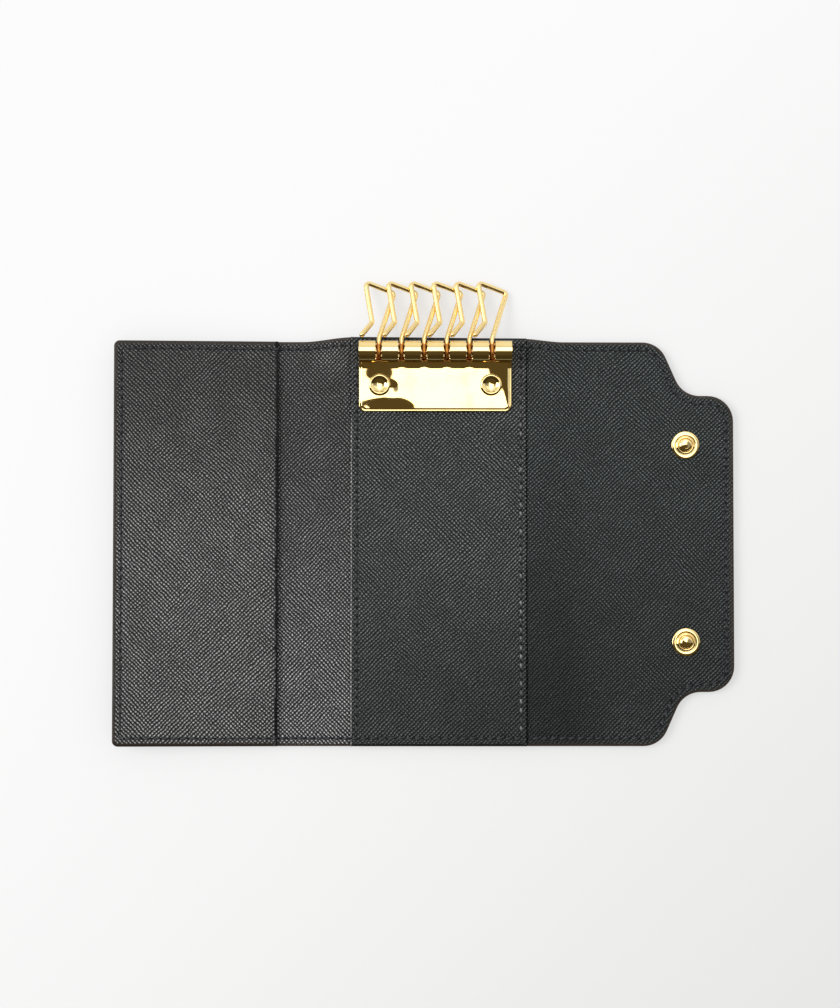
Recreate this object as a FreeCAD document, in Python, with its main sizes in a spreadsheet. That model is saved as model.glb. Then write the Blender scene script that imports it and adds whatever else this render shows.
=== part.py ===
"""Trifold leather key case with a key plate, lying open with its inside up.

X runs across the open case towards the flap, Y along the folds towards the key hooks, Z up.
The origin is the middle of the back panel's outer face. Left of the back the leather folds to
the pocket wing, right of it to the flap with the snap studs. Each fold is a row of narrow
strips, and the wing leans up a little because it rests on its snap sockets.
"""
import FreeCAD
import Part

import math
import os
import re

FOLD_HINGES = 4
HOOK_COUNT = 6
FOLD_STEP = 180 / FOLD_HINGES
# Height that a closed fold gains, in strip pitches: each strip stands one step steeper.
RISE_SHARE = sum(math.sin(math.radians(FOLD_STEP * k)) for k in range(1, FOLD_HINGES))
# A rounded corner takes a little less than the whole edge beside it.
CORNER_SHARE = 0.99

DRIVING = {
    # leather layers
    "shell_thickness": 1.0,
    "board_thickness": 0.5,
    "lining_thickness": 0.7,
    "pocket_thickness": 0.8,
    "patch_thickness": 1.1,
    # case outline
    "case_height": 110.0,
    "back_width": 52.0,
    "left_rise": 12.6,
    "wing_relief": 5.16,
    "flap_length": 32.45,
    "flap_shoulder": 12.2,
    "shoulder_depth": 14.65,
    "shoulder_angle": 66.0,
    "outline_radius": 7.0,
    "corner_radius": 1.0,
    "fold_gap": 0.1,
    "board_margin": 3.5,
    "patch_margin": 2.2,
    "pocket_setback": 2.24,
    "pocket_seam": 3.0,
    "pocket_slack": 0.2,
    # key plate with its barrel
    "plate_centre": -1.0,
    "plate_margin": 3.05,
    "plate_drop": 16.1,
    "plate_thickness": 0.9,
    "plate_corner": 1.4,
    "plate_bevel": 0.3,
    "barrel_inset": 3.1,
    "barrel_wall": 0.7,
    "barrel_end": 1.2,
    "bore_clearance": 0.225,
    "slot_clearance": 0.3,
    "pin_diameter": 1.6,
    # key hooks
    "hook_wire": 1.2,
    "hook_inset": 5.375,
    "hook_bend": 0.9,
    "hook_stack_gap": 0.39,
    "eye_clearance": 0.075,
    "leg_clearance": 0.6,
    "corner_reach": 17.5,
    "corner_side": 4.25,
    "top_reach": 19.9,
    "top_side": 3.85,
    "knee_reach": 8.3,
    "knee_side": 1.9,
    "tip_clearance": 0.85,
    "tip_side": 4.75,
    # rivets of the key plate
    "rivet_inset": 5.6,
    "rivet_drop": 8.8,
    "rivet_head": 5.9,
    "rivet_dome": 1.2,
    "rivet_rim": 0.25,
    "rivet_shank": 2.4,
    "cap_diameter": 5.5,
    "cap_thickness": 0.35,
    "seat_clearance": 0.03,
    "board_clearance": 0.3,
    # snap studs, sockets and their rivets
    "stud_from_fold": 19.3,
    "stud_inset": 13.55,
    "stud_diameter": 7.6,
    "stud_rim": 0.35,
    "stud_step": 4.7,
    "stud_flange": 0.6,
    "neck_diameter": 2.9,
    "knob_diameter": 3.3,
    "knob_height": 0.5,
    "snap_clearance": 0.1,
    "spring_wire": 0.5,
    "spring_clearance": 0.05,
    "mouth_clearance": 0.25,
    "cavity_clearance": 0.8,
    "socket_wall": 1.2,
    "socket_floor": 0.4,
    "socket_lip": 0.4,
    "snap_shank": 2.0,
    "snap_head": 6.0,
    "snap_head_thickness": 0.35,
    "flare_diameter": 3.2,
    "flare_height": 0.15,
    # overrun of every cut past the face it opens
    "overrun": 1.0,
}

DERIVED = {
    "cover": "board_thickness + lining_thickness",
    "panel_thickness": "shell_thickness + cover",
    "half_height": "case_height / 2",
    "half_gap": "fold_gap / 2",
    # the wing and its pocket, the patch and the plate on it all follow the back's width
    "wing_length": "back_width - wing_relief",
    "pocket_width": "wing_length - pocket_setback",
    "patch_width": "back_width - 2 * patch_margin",
    "plate_width": "patch_width - 2 * plate_margin",
    "rivet_spacing": "plate_width - 2 * rivet_inset",
    "hook_pitch": f"(plate_width - 2 * hook_inset) / {HOOK_COUNT - 1}",
    # the tongue and its snaps follow the case's height
    "tongue_height": "case_height - 2 * shoulder_depth",
    "stud_spacing": "tongue_height - 2 * stud_inset",
    # snaps: the stud's neck passes the lip and the spring wires, its knob lies below them
    "neck_height": "snap_clearance + socket_lip + spring_wire + spring_clearance",
    "socket_height": "socket_floor + flare_height + knob_height + neck_height",
    "spring_offset": "neck_diameter / 2 + spring_clearance + spring_wire / 2",
    "mouth_radius": "knob_diameter / 2 + mouth_clearance",
    "cavity_radius": "spring_offset + spring_wire / 2 + cavity_clearance",
    "socket_radius": "cavity_radius + socket_wall",
    "socket_from_fold": "back_width - stud_from_fold",
    "snap_side": "stud_spacing / 2",
    # folds: the flap closes over the wing, its stud flange just above the socket
    "left_pitch": f"left_rise / {RISE_SHARE}",
    "right_rise": "left_rise + panel_thickness + socket_height + stud_flange + snap_clearance",
    "right_pitch": f"right_rise / {RISE_SHARE}",
    "wing_fold": f"back_width / 2 + {FOLD_HINGES - 1} * left_pitch",
    "flap_fold": f"back_width / 2 + {FOLD_HINGES - 1} * right_pitch",
    # the wing leans up until the near rims of its sockets lie on the table
    "socket_near": "socket_from_fold - socket_radius",
    "socket_drop": "shell_thickness + socket_height",
    "wing_tilt": "atan(socket_drop / socket_near)"
                 " - asin(shell_thickness / sqrt(socket_near^2 + socket_drop^2))",
    # flap outline
    "tongue_half": "tongue_height / 2",
    "shoulder_run": "shoulder_depth / tan(shoulder_angle)",
    "outline_bend": f"min(outline_radius; {CORNER_SHARE} * (flap_length - flap_shoulder - shoulder_run)"
                    " / (1 + tan(shoulder_angle / 2)))",
    # barrel and hooks
    "eye_radius": "pin_diameter / 2 + eye_clearance + hook_wire / 2",
    "bore_radius": "eye_radius + hook_wire / 2 + bore_clearance",
    "barrel_radius": "bore_radius + barrel_wall",
    "slot_width": "hook_wire + 2 * slot_clearance",
    "pin_side": "half_height - barrel_inset",
    "plate_seat": "panel_thickness + patch_thickness",
    "pin_level": "plate_seat + barrel_radius",
    "leg_reach": "barrel_radius + leg_clearance",
    "tip_reach": "barrel_radius + hook_wire / 2 + tip_clearance",
    # neighbouring hooks lie in parallel planes one wire and a gap apart
    "hook_roll": "asin((hook_wire + hook_stack_gap) / hook_pitch)",
    # the low corner of each hook lies on the table
    "corner_drop": "corner_side * sin(hook_roll)",
    "hook_tilt": "asin((pin_level - hook_wire / 2) / sqrt(corner_reach^2 + corner_drop^2))"
                 " - atan(corner_drop / corner_reach)",
    "slot_front_drop": "barrel_radius * sin(hook_tilt) + hook_wire / 2 + slot_clearance",
    "slot_rear_drop": "hook_wire / 2",
    # rivets of the plate
    "rivet_bulge": "((rivet_head / 2)^2 + rivet_dome^2) / (2 * rivet_dome)",
    "rivet_depth": "patch_thickness + cover + plate_thickness",
}

doc = FreeCAD.newDocument("key_case")
nodes = []


def fill_sheet(name, cells, mark):
    """Put each named size in a row of its own: the name, then the aliased cell."""
    sheet = doc.addObject("Spreadsheet::Sheet", name)
    for row, (alias, content) in enumerate(cells.items(), start=1):
        sheet.set(f"A{row}", alias)
        sheet.set(f"B{row}", mark + (bound(content) if mark else str(content)))
        sheet.setAlias(f"B{row}", alias)
    doc.recompute()
    return sheet


def bound(text):
    """Expression text in which each named size is prefixed by the sheet that holds it."""

    def prefixed(match):
        word = match.group()
        if word in DRIVING:
            return f"dims.{word}"
        if word in DERIVED:
            return f"derived.{word}"
        return word

    return re.sub(r"[a-z][a-z_]*", prefixed, text)


def value(alias):
    """Current number of a named size, an angle in degrees."""
    held = dims.get(alias) if alias in DRIVING else derived.get(alias)
    return float(getattr(held, "Value", held))


def bind(item, **sizes):
    """Tie properties of an object to expressions in named sizes."""
    for prop, text in sizes.items():
        item.setExpression(prop, bound(text))


def place(item, x="0", y="0", z="0"):
    """Tie an object's position to expressions in named sizes."""
    for axis, text in zip("xyz", (x, y, z)):
        if text != "0":
            item.setExpression(f"Placement.Base.{axis}", bound(text))


def turn(item, axis, angle):
    """Give an object a fixed turn, before its position is tied."""
    rotation = FreeCAD.Rotation(FreeCAD.Vector(*axis), angle)
    item.Placement = FreeCAD.Placement(FreeCAD.Vector(), rotation)


def named(item, label):
    """Label a finished sub-part and count it as a node."""
    item.Label = label
    nodes.append(item)
    return item


def seat_on_back(item):
    """Local origin in the middle of the back, at the height of the fold axes."""
    place(item, z="shell_thickness")


def seat_on_wing(item):
    """Local origin on the wing's fold axis, leaning up with the wing."""
    turn(item, (0, 1, 0), value("wing_tilt"))
    item.setExpression("Placement.Rotation.Angle", bound("wing_tilt"))
    place(item, x="-wing_fold", z="shell_thickness")


def seat_on_flap(item):
    """Local origin on the flap's fold axis."""
    place(item, x="flap_fold", z="shell_thickness")


def block(body, kind, x, y, z, length, width, height):
    """Rectangular feature of a body, added or cut away."""
    feature = body.newObject(f"PartDesign::{kind}Box", f"{kind}Box")
    bind(feature, Length=length, Width=width, Height=height)
    place(feature, x, y, z)
    return feature


def drill(body, x, y, z, radius, height):
    """Upright round hole in a body."""
    feature = body.newObject("PartDesign::SubtractiveCylinder", "Hole")
    bind(feature, Radius=radius, Height=height)
    place(feature, x, y, z)
    return feature


def round_upright_edges(body, radius, beyond):
    """Round the upright edges of a body that stand further from its fold than a distance."""
    doc.recompute()
    base = body.Tip
    chosen = []
    for number, edge in enumerate(base.Shape.Edges, start=1):
        start, end = (vertex.Point for vertex in edge.Vertexes)
        upright = abs(start.x - end.x) + abs(start.y - end.y) < value("fold_gap")
        if upright and abs(start.x) > beyond:
            chosen.append(f"Edge{number}")
    fillet = body.newObject("PartDesign::Fillet", "Corners")
    fillet.Base = (base, chosen)
    bind(fillet, Radius=radius)
    return fillet


def new_body(label, seat):
    """Empty body in its place."""
    body = named(doc.addObject("PartDesign::Body", label), label)
    seat(body)
    return body


def sheet_panel(label, seat, low, high, bottom, thickness, half="half_height"):
    """Flat leather or board panel between two distances from the fold."""
    body = new_body(label, seat)
    length = f"({high}) - ({low})"
    block(body, "Additive", low, f"-({half})", bottom, length, f"2 * ({half})", thickness)
    return body


def cut_shoulders(body, depth):
    """Cut both corners of the flap away, so that its tongue is narrower than the fold."""
    spread = f"({depth}) + overrun"
    for angle in (0, 180):
        wedge = body.newObject("PartDesign::SubtractiveWedge", "Shoulder")
        turn(wedge, (1, 0, 0), angle)
        bind(
            wedge,
            Xmin="flap_shoulder + shoulder_run",
            X2min="flap_shoulder - overrun / tan(shoulder_angle)",
            Xmax="flap_length + overrun",
            X2max="flap_length + overrun",
            Ymin="tongue_half",
            Ymax="half_height + overrun",
            Zmin=f"-({spread})",
            Z2min=f"-({spread})",
            Zmax=spread,
            Z2max=spread,
        )
    round_upright_edges(body, "outline_bend", value("fold_gap"))


def drill_pair(body, x, radius, bottom, height):
    """Holes for both snaps."""
    for side in ("snap_side", "-snap_side"):
        drill(body, x, side, bottom, radius, height)


def disc(x, y, z, radius, height):
    """Upright round disc."""
    item = doc.addObject("Part::Cylinder", "Disc")
    bind(item, Radius=radius, Height=height)
    place(item, x, y, z)
    return item


def joined(*items):
    """One solid from pieces that touch or overlap."""
    union = doc.addObject("Part::MultiFuse", "Union")
    union.Shapes = list(items)
    return union


def without(base, *tools):
    """A solid with others cut out of it, one after the other."""
    for tool in tools:
        cut = doc.addObject("Part::Cut", "Cut")
        cut.Base = base
        cut.Tool = tool
        base = cut
    return base


def mirrored(item, normal, x="0"):
    """Mirror image of a solid across a plane."""
    image = doc.addObject("Part::Mirroring", "Mirrored")
    image.Source = item
    image.Normal = FreeCAD.Vector(*normal)
    if x != "0":
        image.setExpression("Base.x", bound(x))
    return image


def group(label, *items):
    """Separate identical solids that share one node."""
    bundle = doc.addObject("Part::Compound", label)
    bundle.Links = list(items)
    return named(bundle, label)


def build_back():
    """Back panel: shell, board, lining with a recess for the board, and the key patch."""
    half = "back_width / 2 - half_gap"
    board_half = "half_height - board_margin"
    board_low = "-(back_width / 2 - board_margin)"
    sheet_panel("back_shell", seat_on_back, f"-({half})", half, "-shell_thickness", "shell_thickness")
    board = sheet_panel(
        "back_board", seat_on_back, board_low, f"-({board_low})", "0", "board_thickness", board_half
    )
    lining = sheet_panel("back_lining", seat_on_back, f"-({half})", half, "0", "cover")
    block(
        lining, "Subtractive", board_low, f"-({board_half})", "-overrun",
        f"-2 * ({board_low})", f"2 * ({board_half})", "board_thickness + overrun",
    )
    patch = sheet_panel(
        "key_panel", seat_on_back, "-patch_width / 2", "patch_width / 2", "cover", "patch_thickness"
    )
    level = "pin_side - rivet_drop"
    for side in ("-", "+"):
        x = f"plate_centre {side} rivet_spacing / 2"
        drill(
            board, x, level, "-overrun",
            "cap_diameter / 2 + board_clearance", "board_thickness + 2 * overrun",
        )
        for layer in (lining, patch):
            drill(
                layer, x, level, "-overrun",
                "rivet_shank / 2 + seat_clearance", "rivet_depth + 2 * overrun",
            )


def build_wing():
    """Left wing: shell, board, lining, and the pocket front with its slit."""
    far = "-wing_length"
    near = "-half_gap"
    board_low = "-(wing_length - board_margin)"
    board_half = "half_height - board_margin"
    snap = "-socket_from_fold"
    shell = sheet_panel("wing_shell", seat_on_wing, far, near, "-shell_thickness", "shell_thickness")
    board = sheet_panel(
        "wing_board", seat_on_wing, board_low, "-board_margin", "0", "board_thickness", board_half
    )
    lining = sheet_panel("wing_lining", seat_on_wing, far, near, "0", "cover")
    pocket = sheet_panel(
        "pocket_front", seat_on_wing, far, "-(wing_length - pocket_width)", "cover", "pocket_thickness"
    )
    for layer in (shell, lining, pocket):
        round_upright_edges(layer, "corner_radius", value("wing_length") / 2)
    block(
        lining, "Subtractive", board_low, f"-({board_half})", "-overrun",
        "wing_length - 2 * board_margin", f"2 * ({board_half})", "board_thickness + overrun",
    )
    block(
        pocket, "Subtractive", "-(wing_length - pocket_seam)", "-(half_height - pocket_seam)",
        "cover - overrun", "pocket_width + overrun", "2 * (half_height - pocket_seam)",
        "pocket_slack + overrun",
    )
    drill_pair(
        shell, snap, "snap_shank / 2 + seat_clearance", "-shell_thickness - overrun",
        "shell_thickness + 2 * overrun",
    )
    drill_pair(
        board, snap, "snap_head / 2 + board_clearance", "-overrun", "board_thickness + 2 * overrun"
    )


def build_flap():
    """Flap: shell, board and lining with shoulders that narrow to the tongue."""
    board_high = "flap_length - board_margin"
    board_half = "tongue_half - board_margin"
    snap = "stud_from_fold"
    shell = sheet_panel(
        "flap_shell", seat_on_flap, "half_gap", "flap_length", "-shell_thickness", "shell_thickness"
    )
    cut_shoulders(shell, "shell_thickness")
    board = sheet_panel(
        "flap_board", seat_on_flap, "board_margin", board_high, "0", "board_thickness", board_half
    )
    lining = sheet_panel("flap_lining", seat_on_flap, "half_gap", "flap_length", "0", "cover")
    cut_shoulders(lining, "cover")
    block(
        lining, "Subtractive", "board_margin", f"-({board_half})", "-overrun",
        "flap_length - 2 * board_margin", f"2 * ({board_half})", "board_thickness + overrun",
    )
    drill_pair(board, snap, "snap_head / 2 + board_clearance", "-overrun", "board_thickness + 2 * overrun")
    drill_pair(lining, snap, "snap_shank / 2 + seat_clearance", "-overrun", "cover + 2 * overrun")


def build_fold(side, sign, pitch):
    """Strips of one fold. Lining strips are bevelled, so that they meet when the case is shut."""
    steep = math.tan(math.radians(FOLD_STEP))
    shared = math.tan(math.radians(FOLD_STEP / 2))
    last = FOLD_HINGES - 2
    for index in range(FOLD_HINGES - 1):
        start = f"{sign}(back_width / 2 + {index} * {pitch})"
        near_slope = steep if index == 0 else shared
        far_slope = steep if index == last else shared
        near, far = "half_gap", f"{pitch} - half_gap"
        near_top, far_top = f"{near} + cover * {near_slope}", f"{far} - cover * {far_slope}"
        if sign == "-":
            near, far = f"-({far})", f"-({near})"
            near_top, far_top = f"-({far_top})", f"-({near_top})"
        shell = doc.addObject("Part::Box", "Strip")
        bind(shell, Length=f"{pitch} - fold_gap", Width="case_height", Height="shell_thickness")
        place(shell, x=f"{start} + ({near})", y="-half_height")
        named(shell, f"{side}_spine_shell_{index + 1}")
        lining = doc.addObject("Part::Wedge", "Strip")
        turn(lining, (1, 0, 0), 90)
        bind(
            lining,
            Xmin=near, Xmax=far, X2min=near_top, X2max=far_top,
            Ymin="0", Ymax="cover",
            Zmin="-half_height", Z2min="-half_height", Zmax="half_height", Z2max="half_height",
        )
        place(lining, x=start, z="shell_thickness")
        named(lining, f"{side}_spine_lining_{index + 1}")


def build_key_plate():
    """Polished plate with its slotted barrel, in one piece, and the pin along the barrel."""
    body = new_body("key_plate", lambda item: place(item, "plate_centre", "pin_side", "pin_level"))
    block(
        body, "Additive", "-plate_width / 2", "-plate_drop", "-barrel_radius",
        "plate_width", "plate_drop", "plate_thickness",
    )
    doc.recompute()
    base = body.Tip
    corners = [
        f"Edge{number}" for number, edge in enumerate(base.Shape.Edges, start=1)
        if edge.BoundBox.ZLength > value("plate_thickness") / 2
        and edge.CenterOfMass.y < -value("plate_drop") / 2
    ]
    fillet = body.newObject("PartDesign::Fillet", "PlateCorners")
    fillet.Base = (base, corners)
    bind(fillet, Radius="plate_corner")
    doc.recompute()
    top = value("plate_thickness") - value("barrel_radius")
    rims = [
        f"Edge{number}" for number, edge in enumerate(fillet.Shape.Edges, start=1)
        if abs(edge.BoundBox.ZMin - top) < value("plate_bevel") / 2
        and edge.CenterOfMass.y < -value("barrel_radius")
    ]
    bevel = body.newObject("PartDesign::Chamfer", "PlateRim")
    bevel.Base = (fillet, rims)
    bind(bevel, Size="plate_bevel")

    for kind, radius, inset in (
        ("Additive", "barrel_radius", "0"),
        ("Subtractive", "bore_radius", "barrel_end"),
        ("Subtractive", "pin_diameter / 2 + seat_clearance", "-overrun"),
    ):
        tube = body.newObject(f"PartDesign::{kind}Cylinder", "Barrel")
        turn(tube, (0, 1, 0), 90)
        bind(tube, Radius=radius, Height=f"plate_width - 2 * ({inset})")
        place(tube, x=f"-plate_width / 2 + ({inset})")

    reach = "barrel_radius + overrun"
    for index in range(HOOK_COUNT):
        x = f"{index - (HOOK_COUNT - 1) / 2} * hook_pitch - slot_width / 2"
        for y, drop in (("0", "slot_front_drop"), (f"-({reach})", "slot_rear_drop")):
            block(body, "Subtractive", x, y, f"-({drop})", "slot_width", reach, f"{reach} + {drop}")
    for side in ("-", ""):
        drill(
            body, f"{side}rivet_spacing / 2", "-rivet_drop", "-barrel_radius - overrun",
            "rivet_shank / 2 + seat_clearance", "plate_thickness + 2 * overrun",
        )

    pin = doc.addObject("Part::Cylinder", "Pin")
    turn(pin, (0, 1, 0), 90)
    bind(pin, Radius="pin_diameter / 2", Height="plate_width")
    place(pin, x="plate_centre - plate_width / 2", y="pin_side", z="pin_level")
    named(pin, "hook_pin")


def build_plate_rivets():
    """Domed rivets through plate, patch and lining, closed on caps under the lining."""
    x = "plate_centre - rivet_spacing / 2"
    y = "pin_side - rivet_drop"
    top = "plate_seat + plate_thickness"
    rim = disc(x, y, top, "rivet_head / 2", "rivet_rim")
    dome = doc.addObject("Part::Sphere", "Dome")
    bind(
        dome,
        Radius="rivet_bulge",
        Angle1="asin(1 - rivet_dome / rivet_bulge)",
    )
    place(dome, x, y, f"{top} + rivet_rim + rivet_dome - rivet_bulge")
    shank = disc(x, y, "shell_thickness", "rivet_shank / 2", "rivet_depth + rivet_rim")
    rivet = joined(rim, dome, shank)
    group("plate_rivets", rivet, mirrored(rivet, (1, 0, 0), "plate_centre"))
    cap = without(
        disc(x, y, "shell_thickness", "cap_diameter / 2", "cap_thickness"),
        disc(x, y, "0", "rivet_shank / 2 + seat_clearance", "plate_seat"),
    )
    group("rivet_caps", cap, mirrored(cap, (1, 0, 0), "plate_centre"))


def build_studs():
    """Snap studs on the flap's lining and the rivets that hold them from below."""
    x, y = "stud_from_fold", "snap_side"
    neck_top = "cover + stud_flange + neck_height"
    stud = joined(
        disc(x, y, "cover", "stud_diameter / 2", "stud_rim"),
        disc(x, y, "cover", "stud_step / 2", "stud_flange"),
        disc(x, y, "cover", "neck_diameter / 2", "stud_flange + neck_height"),
        disc(x, y, neck_top, "knob_diameter / 2", "knob_height"),
    )
    bored = without(stud, disc(x, y, "0", "snap_shank / 2 + seat_clearance", neck_top))
    studs = group("snap_studs", bored, mirrored(bored, (0, 1, 0)))
    rivet = joined(
        disc(x, y, "board_thickness - snap_head_thickness", "snap_head / 2", "snap_head_thickness"),
        disc(x, y, "board_thickness - snap_head_thickness", "snap_shank / 2",
             f"{neck_top} - board_thickness + snap_head_thickness"),
    )
    rivets = group("stud_rivets", rivet, mirrored(rivet, (0, 1, 0)))
    for item in (studs, rivets):
        seat_on_flap(item)


def build_sockets():
    """Snap sockets under the wing's shell, their spring wires and the rivets that hold them."""
    x, y = "-socket_from_fold", "snap_side"
    bottom = "-socket_drop"
    cavity_level = f"{bottom} + socket_lip"
    cavity_height = "socket_height - socket_lip - socket_floor"
    socket = without(
        disc(x, y, bottom, "socket_radius", "socket_height"),
        disc(x, y, cavity_level, "cavity_radius", cavity_height),
        disc(x, y, f"{bottom} - overrun", "mouth_radius", "socket_lip + 2 * overrun"),
        disc(x, y, bottom, "snap_shank / 2 + seat_clearance", "socket_height + overrun"),
    )
    sockets = group("snap_sockets", socket, mirrored(socket, (0, 1, 0)))
    wires = []
    for side in ("-", "+"):
        wire = doc.addObject("Part::Cylinder", "Wire")
        turn(wire, (1, 0, 0), 90)
        half = "sqrt(cavity_radius^2 - (spring_offset + spring_wire / 2)^2)"
        bind(wire, Radius="spring_wire / 2", Height=f"2 * {half}")
        place(wire, f"{x} {side} spring_offset", f"{y} + {half}", f"{cavity_level} + spring_wire / 2")
        wires.append(wire)
    springs = group("socket_springs", *wires, *(mirrored(wire, (0, 1, 0)) for wire in wires))
    flare_level = "-shell_thickness - socket_floor - flare_height"
    rivet = joined(
        disc(x, y, "0", "snap_head / 2", "snap_head_thickness"),
        disc(x, y, flare_level, "snap_shank / 2", f"snap_head_thickness - ({flare_level})"),
        disc(x, y, flare_level, "flare_diameter / 2", "flare_height"),
    )
    rivets = group("socket_rivets", rivet, mirrored(rivet, (0, 1, 0)))
    for item in (sockets, springs, rivets):
        seat_on_wing(item)


def bent_wire(points, bend, radius):
    """Round wire along straight runs that are joined by tangent arcs, with a round far end."""
    edges = []
    begin = points[0]
    for before, corner, after in zip(points, points[1:], points[2:]):
        back = (before - corner).normalize()
        ahead = (after - corner).normalize()
        half_angle = back.getAngle(ahead) / 2
        tangent = bend / math.tan(half_angle)
        inward = (back + ahead).normalize()
        middle = corner + inward * (bend / math.sin(half_angle) - bend)
        entry = corner + back * tangent
        leave = corner + ahead * tangent
        edges.append(Part.LineSegment(begin, entry).toShape())
        edges.append(Part.Arc(entry, middle, leave).toShape())
        begin = leave
    edges.append(Part.LineSegment(begin, points[-1]).toShape())
    path = Part.Wire(edges)
    section = Part.Wire(Part.Circle(points[0], points[1] - points[0], radius).toShape())
    tube = path.makePipeShell([section], True, False)
    print("hook wire: length", round(path.Length, 2), "volume share",
          round(tube.Volume / (path.Length * math.pi * radius ** 2), 4))
    return tube.fuse(Part.makeSphere(radius, points[-1]))


def build_hooks():
    """Identical bent-wire hooks: an eye round the pin, a leg, a top bar, a knee and a free tip."""
    radius = value("hook_wire") / 2
    corners = [
        (0, value("eye_radius")),
        (0, value("leg_reach")),
        (value("corner_side"), value("corner_reach")),
        (-value("top_side"), value("top_reach")),
        (-value("knee_side"), value("knee_reach")),
        (-value("tip_side"), value("tip_reach")),
    ]
    wire = bent_wire([FreeCAD.Vector(x, y, 0) for x, y in corners], value("hook_bend"), radius)
    wire.rotate(FreeCAD.Vector(), FreeCAD.Vector(0, 1, 0), value("hook_roll"))
    eye = Part.makeTorus(value("eye_radius"), radius, FreeCAD.Vector(), FreeCAD.Vector(1, 0, 0))
    hook = eye.fuse(wire).removeSplitter()
    rotation = FreeCAD.Rotation(FreeCAD.Vector(1, 0, 0), -value("hook_tilt"))
    for index in range(HOOK_COUNT):
        x = value("plate_centre") + (index - (HOOK_COUNT - 1) / 2) * value("hook_pitch")
        item = doc.addObject("Part::Feature", "Hook")
        item.Shape = hook.copy()
        item.Placement = FreeCAD.Placement(
            FreeCAD.Vector(x, value("pin_side"), value("pin_level")), rotation
        )
        named(item, f"key_hook_{index + 1}")


def check_model():
    """Stop if any object failed or any sub-part is not a sound solid."""
    doc.recompute()
    for item in doc.Objects:
        if "Invalid" in item.State or "Error" in item.State:
            raise RuntimeError(f"{item.Label} failed: {item.State}")
    for item in nodes:
        shape = item.Shape
        if shape.isNull() or not shape.isValid() or not shape.Solids:
            raise RuntimeError(f"{item.Label} is not a sound solid")


def write_parts():
    """Write each sub-part to a file named by its label."""
    os.makedirs("parts", exist_ok=True)
    for item in nodes:
        item.Shape.exportStep(f"parts/{item.Label}.step")
        box = item.Shape.BoundBox
        print(
            f"{item.Label:24s} solids {len(item.Shape.Solids)}"
            f"  x {box.XMin:8.2f} {box.XMax:8.2f}  y {box.YMin:7.2f} {box.YMax:7.2f}"
            f"  z {box.ZMin:6.2f} {box.ZMax:6.2f}"
        )


dims = fill_sheet("dims", DRIVING, "")
derived = fill_sheet("derived", DERIVED, "=")
for alias in DERIVED:
    print(f"{alias:18s} {value(alias):9.4f}")
build_back()
build_wing()
build_flap()
build_fold("left", "-", "left_pitch")
build_fold("right", "", "right_pitch")
build_key_plate()
build_plate_rivets()
build_studs()
build_sockets()
build_hooks()
check_model()
write_parts()
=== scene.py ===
"""Looks of an open leather key case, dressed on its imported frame.

Every piece is a surface worked out with numpy in millimetres, in the frame of the solids: X runs across
the open case towards the flap, Y along the folds towards the key hooks, Z up out of the inside.
"""
from __future__ import annotations

import logging
import math
from dataclasses import dataclass
from enum import Enum
from typing import Any, Callable, Sequence

import bmesh
import bpy
import numpy as np
from mathutils import Matrix, Vector

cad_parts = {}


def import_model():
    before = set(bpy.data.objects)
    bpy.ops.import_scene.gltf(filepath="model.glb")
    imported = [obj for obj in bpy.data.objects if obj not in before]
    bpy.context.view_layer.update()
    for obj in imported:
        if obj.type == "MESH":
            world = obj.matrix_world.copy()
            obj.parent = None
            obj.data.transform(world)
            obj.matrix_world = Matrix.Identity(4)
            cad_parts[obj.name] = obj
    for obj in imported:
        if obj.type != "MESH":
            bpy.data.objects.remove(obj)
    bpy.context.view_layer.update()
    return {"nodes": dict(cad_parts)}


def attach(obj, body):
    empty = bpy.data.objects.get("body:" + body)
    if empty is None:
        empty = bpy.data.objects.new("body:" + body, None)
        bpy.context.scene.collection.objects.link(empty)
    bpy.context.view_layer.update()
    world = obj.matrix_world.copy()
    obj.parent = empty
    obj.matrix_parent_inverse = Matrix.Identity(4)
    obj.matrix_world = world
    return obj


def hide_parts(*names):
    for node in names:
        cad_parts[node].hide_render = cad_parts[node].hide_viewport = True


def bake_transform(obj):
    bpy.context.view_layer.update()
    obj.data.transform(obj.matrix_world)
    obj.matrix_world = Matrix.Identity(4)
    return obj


Array = np.ndarray
Relief = Callable[[Array, Array], Array]
Pair = tuple[float, float]
Triple = tuple[float, float, float]
Colour = Triple
Four = tuple[float, float, float, float]
Socket = bpy.types.NodeSocket
Material = bpy.types.Material
Piece = bpy.types.Object

LOG = logging.getLogger("key_case")
MM = 0.001
UV_NAME = "developed"
UV_SHARE = 0.01
MARK_NAME = "mark"
MERGE_M = 0.000002
SLIVER_M = 0.0000005
FAR = 200.0
FOLD_HEIGHT = 1.0
QUARTER = 0.5 * math.pi
ROUND = 2.0 * math.pi


# ------------------------------------------------------------------------------------ surfaces


def cells(index: Array) -> Array:
    """Return the four corners of every cell of a numbered grid."""
    return np.stack([index[:-1, :-1], index[1:, :-1], index[1:, 1:], index[:-1, 1:]], axis=-1)


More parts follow.
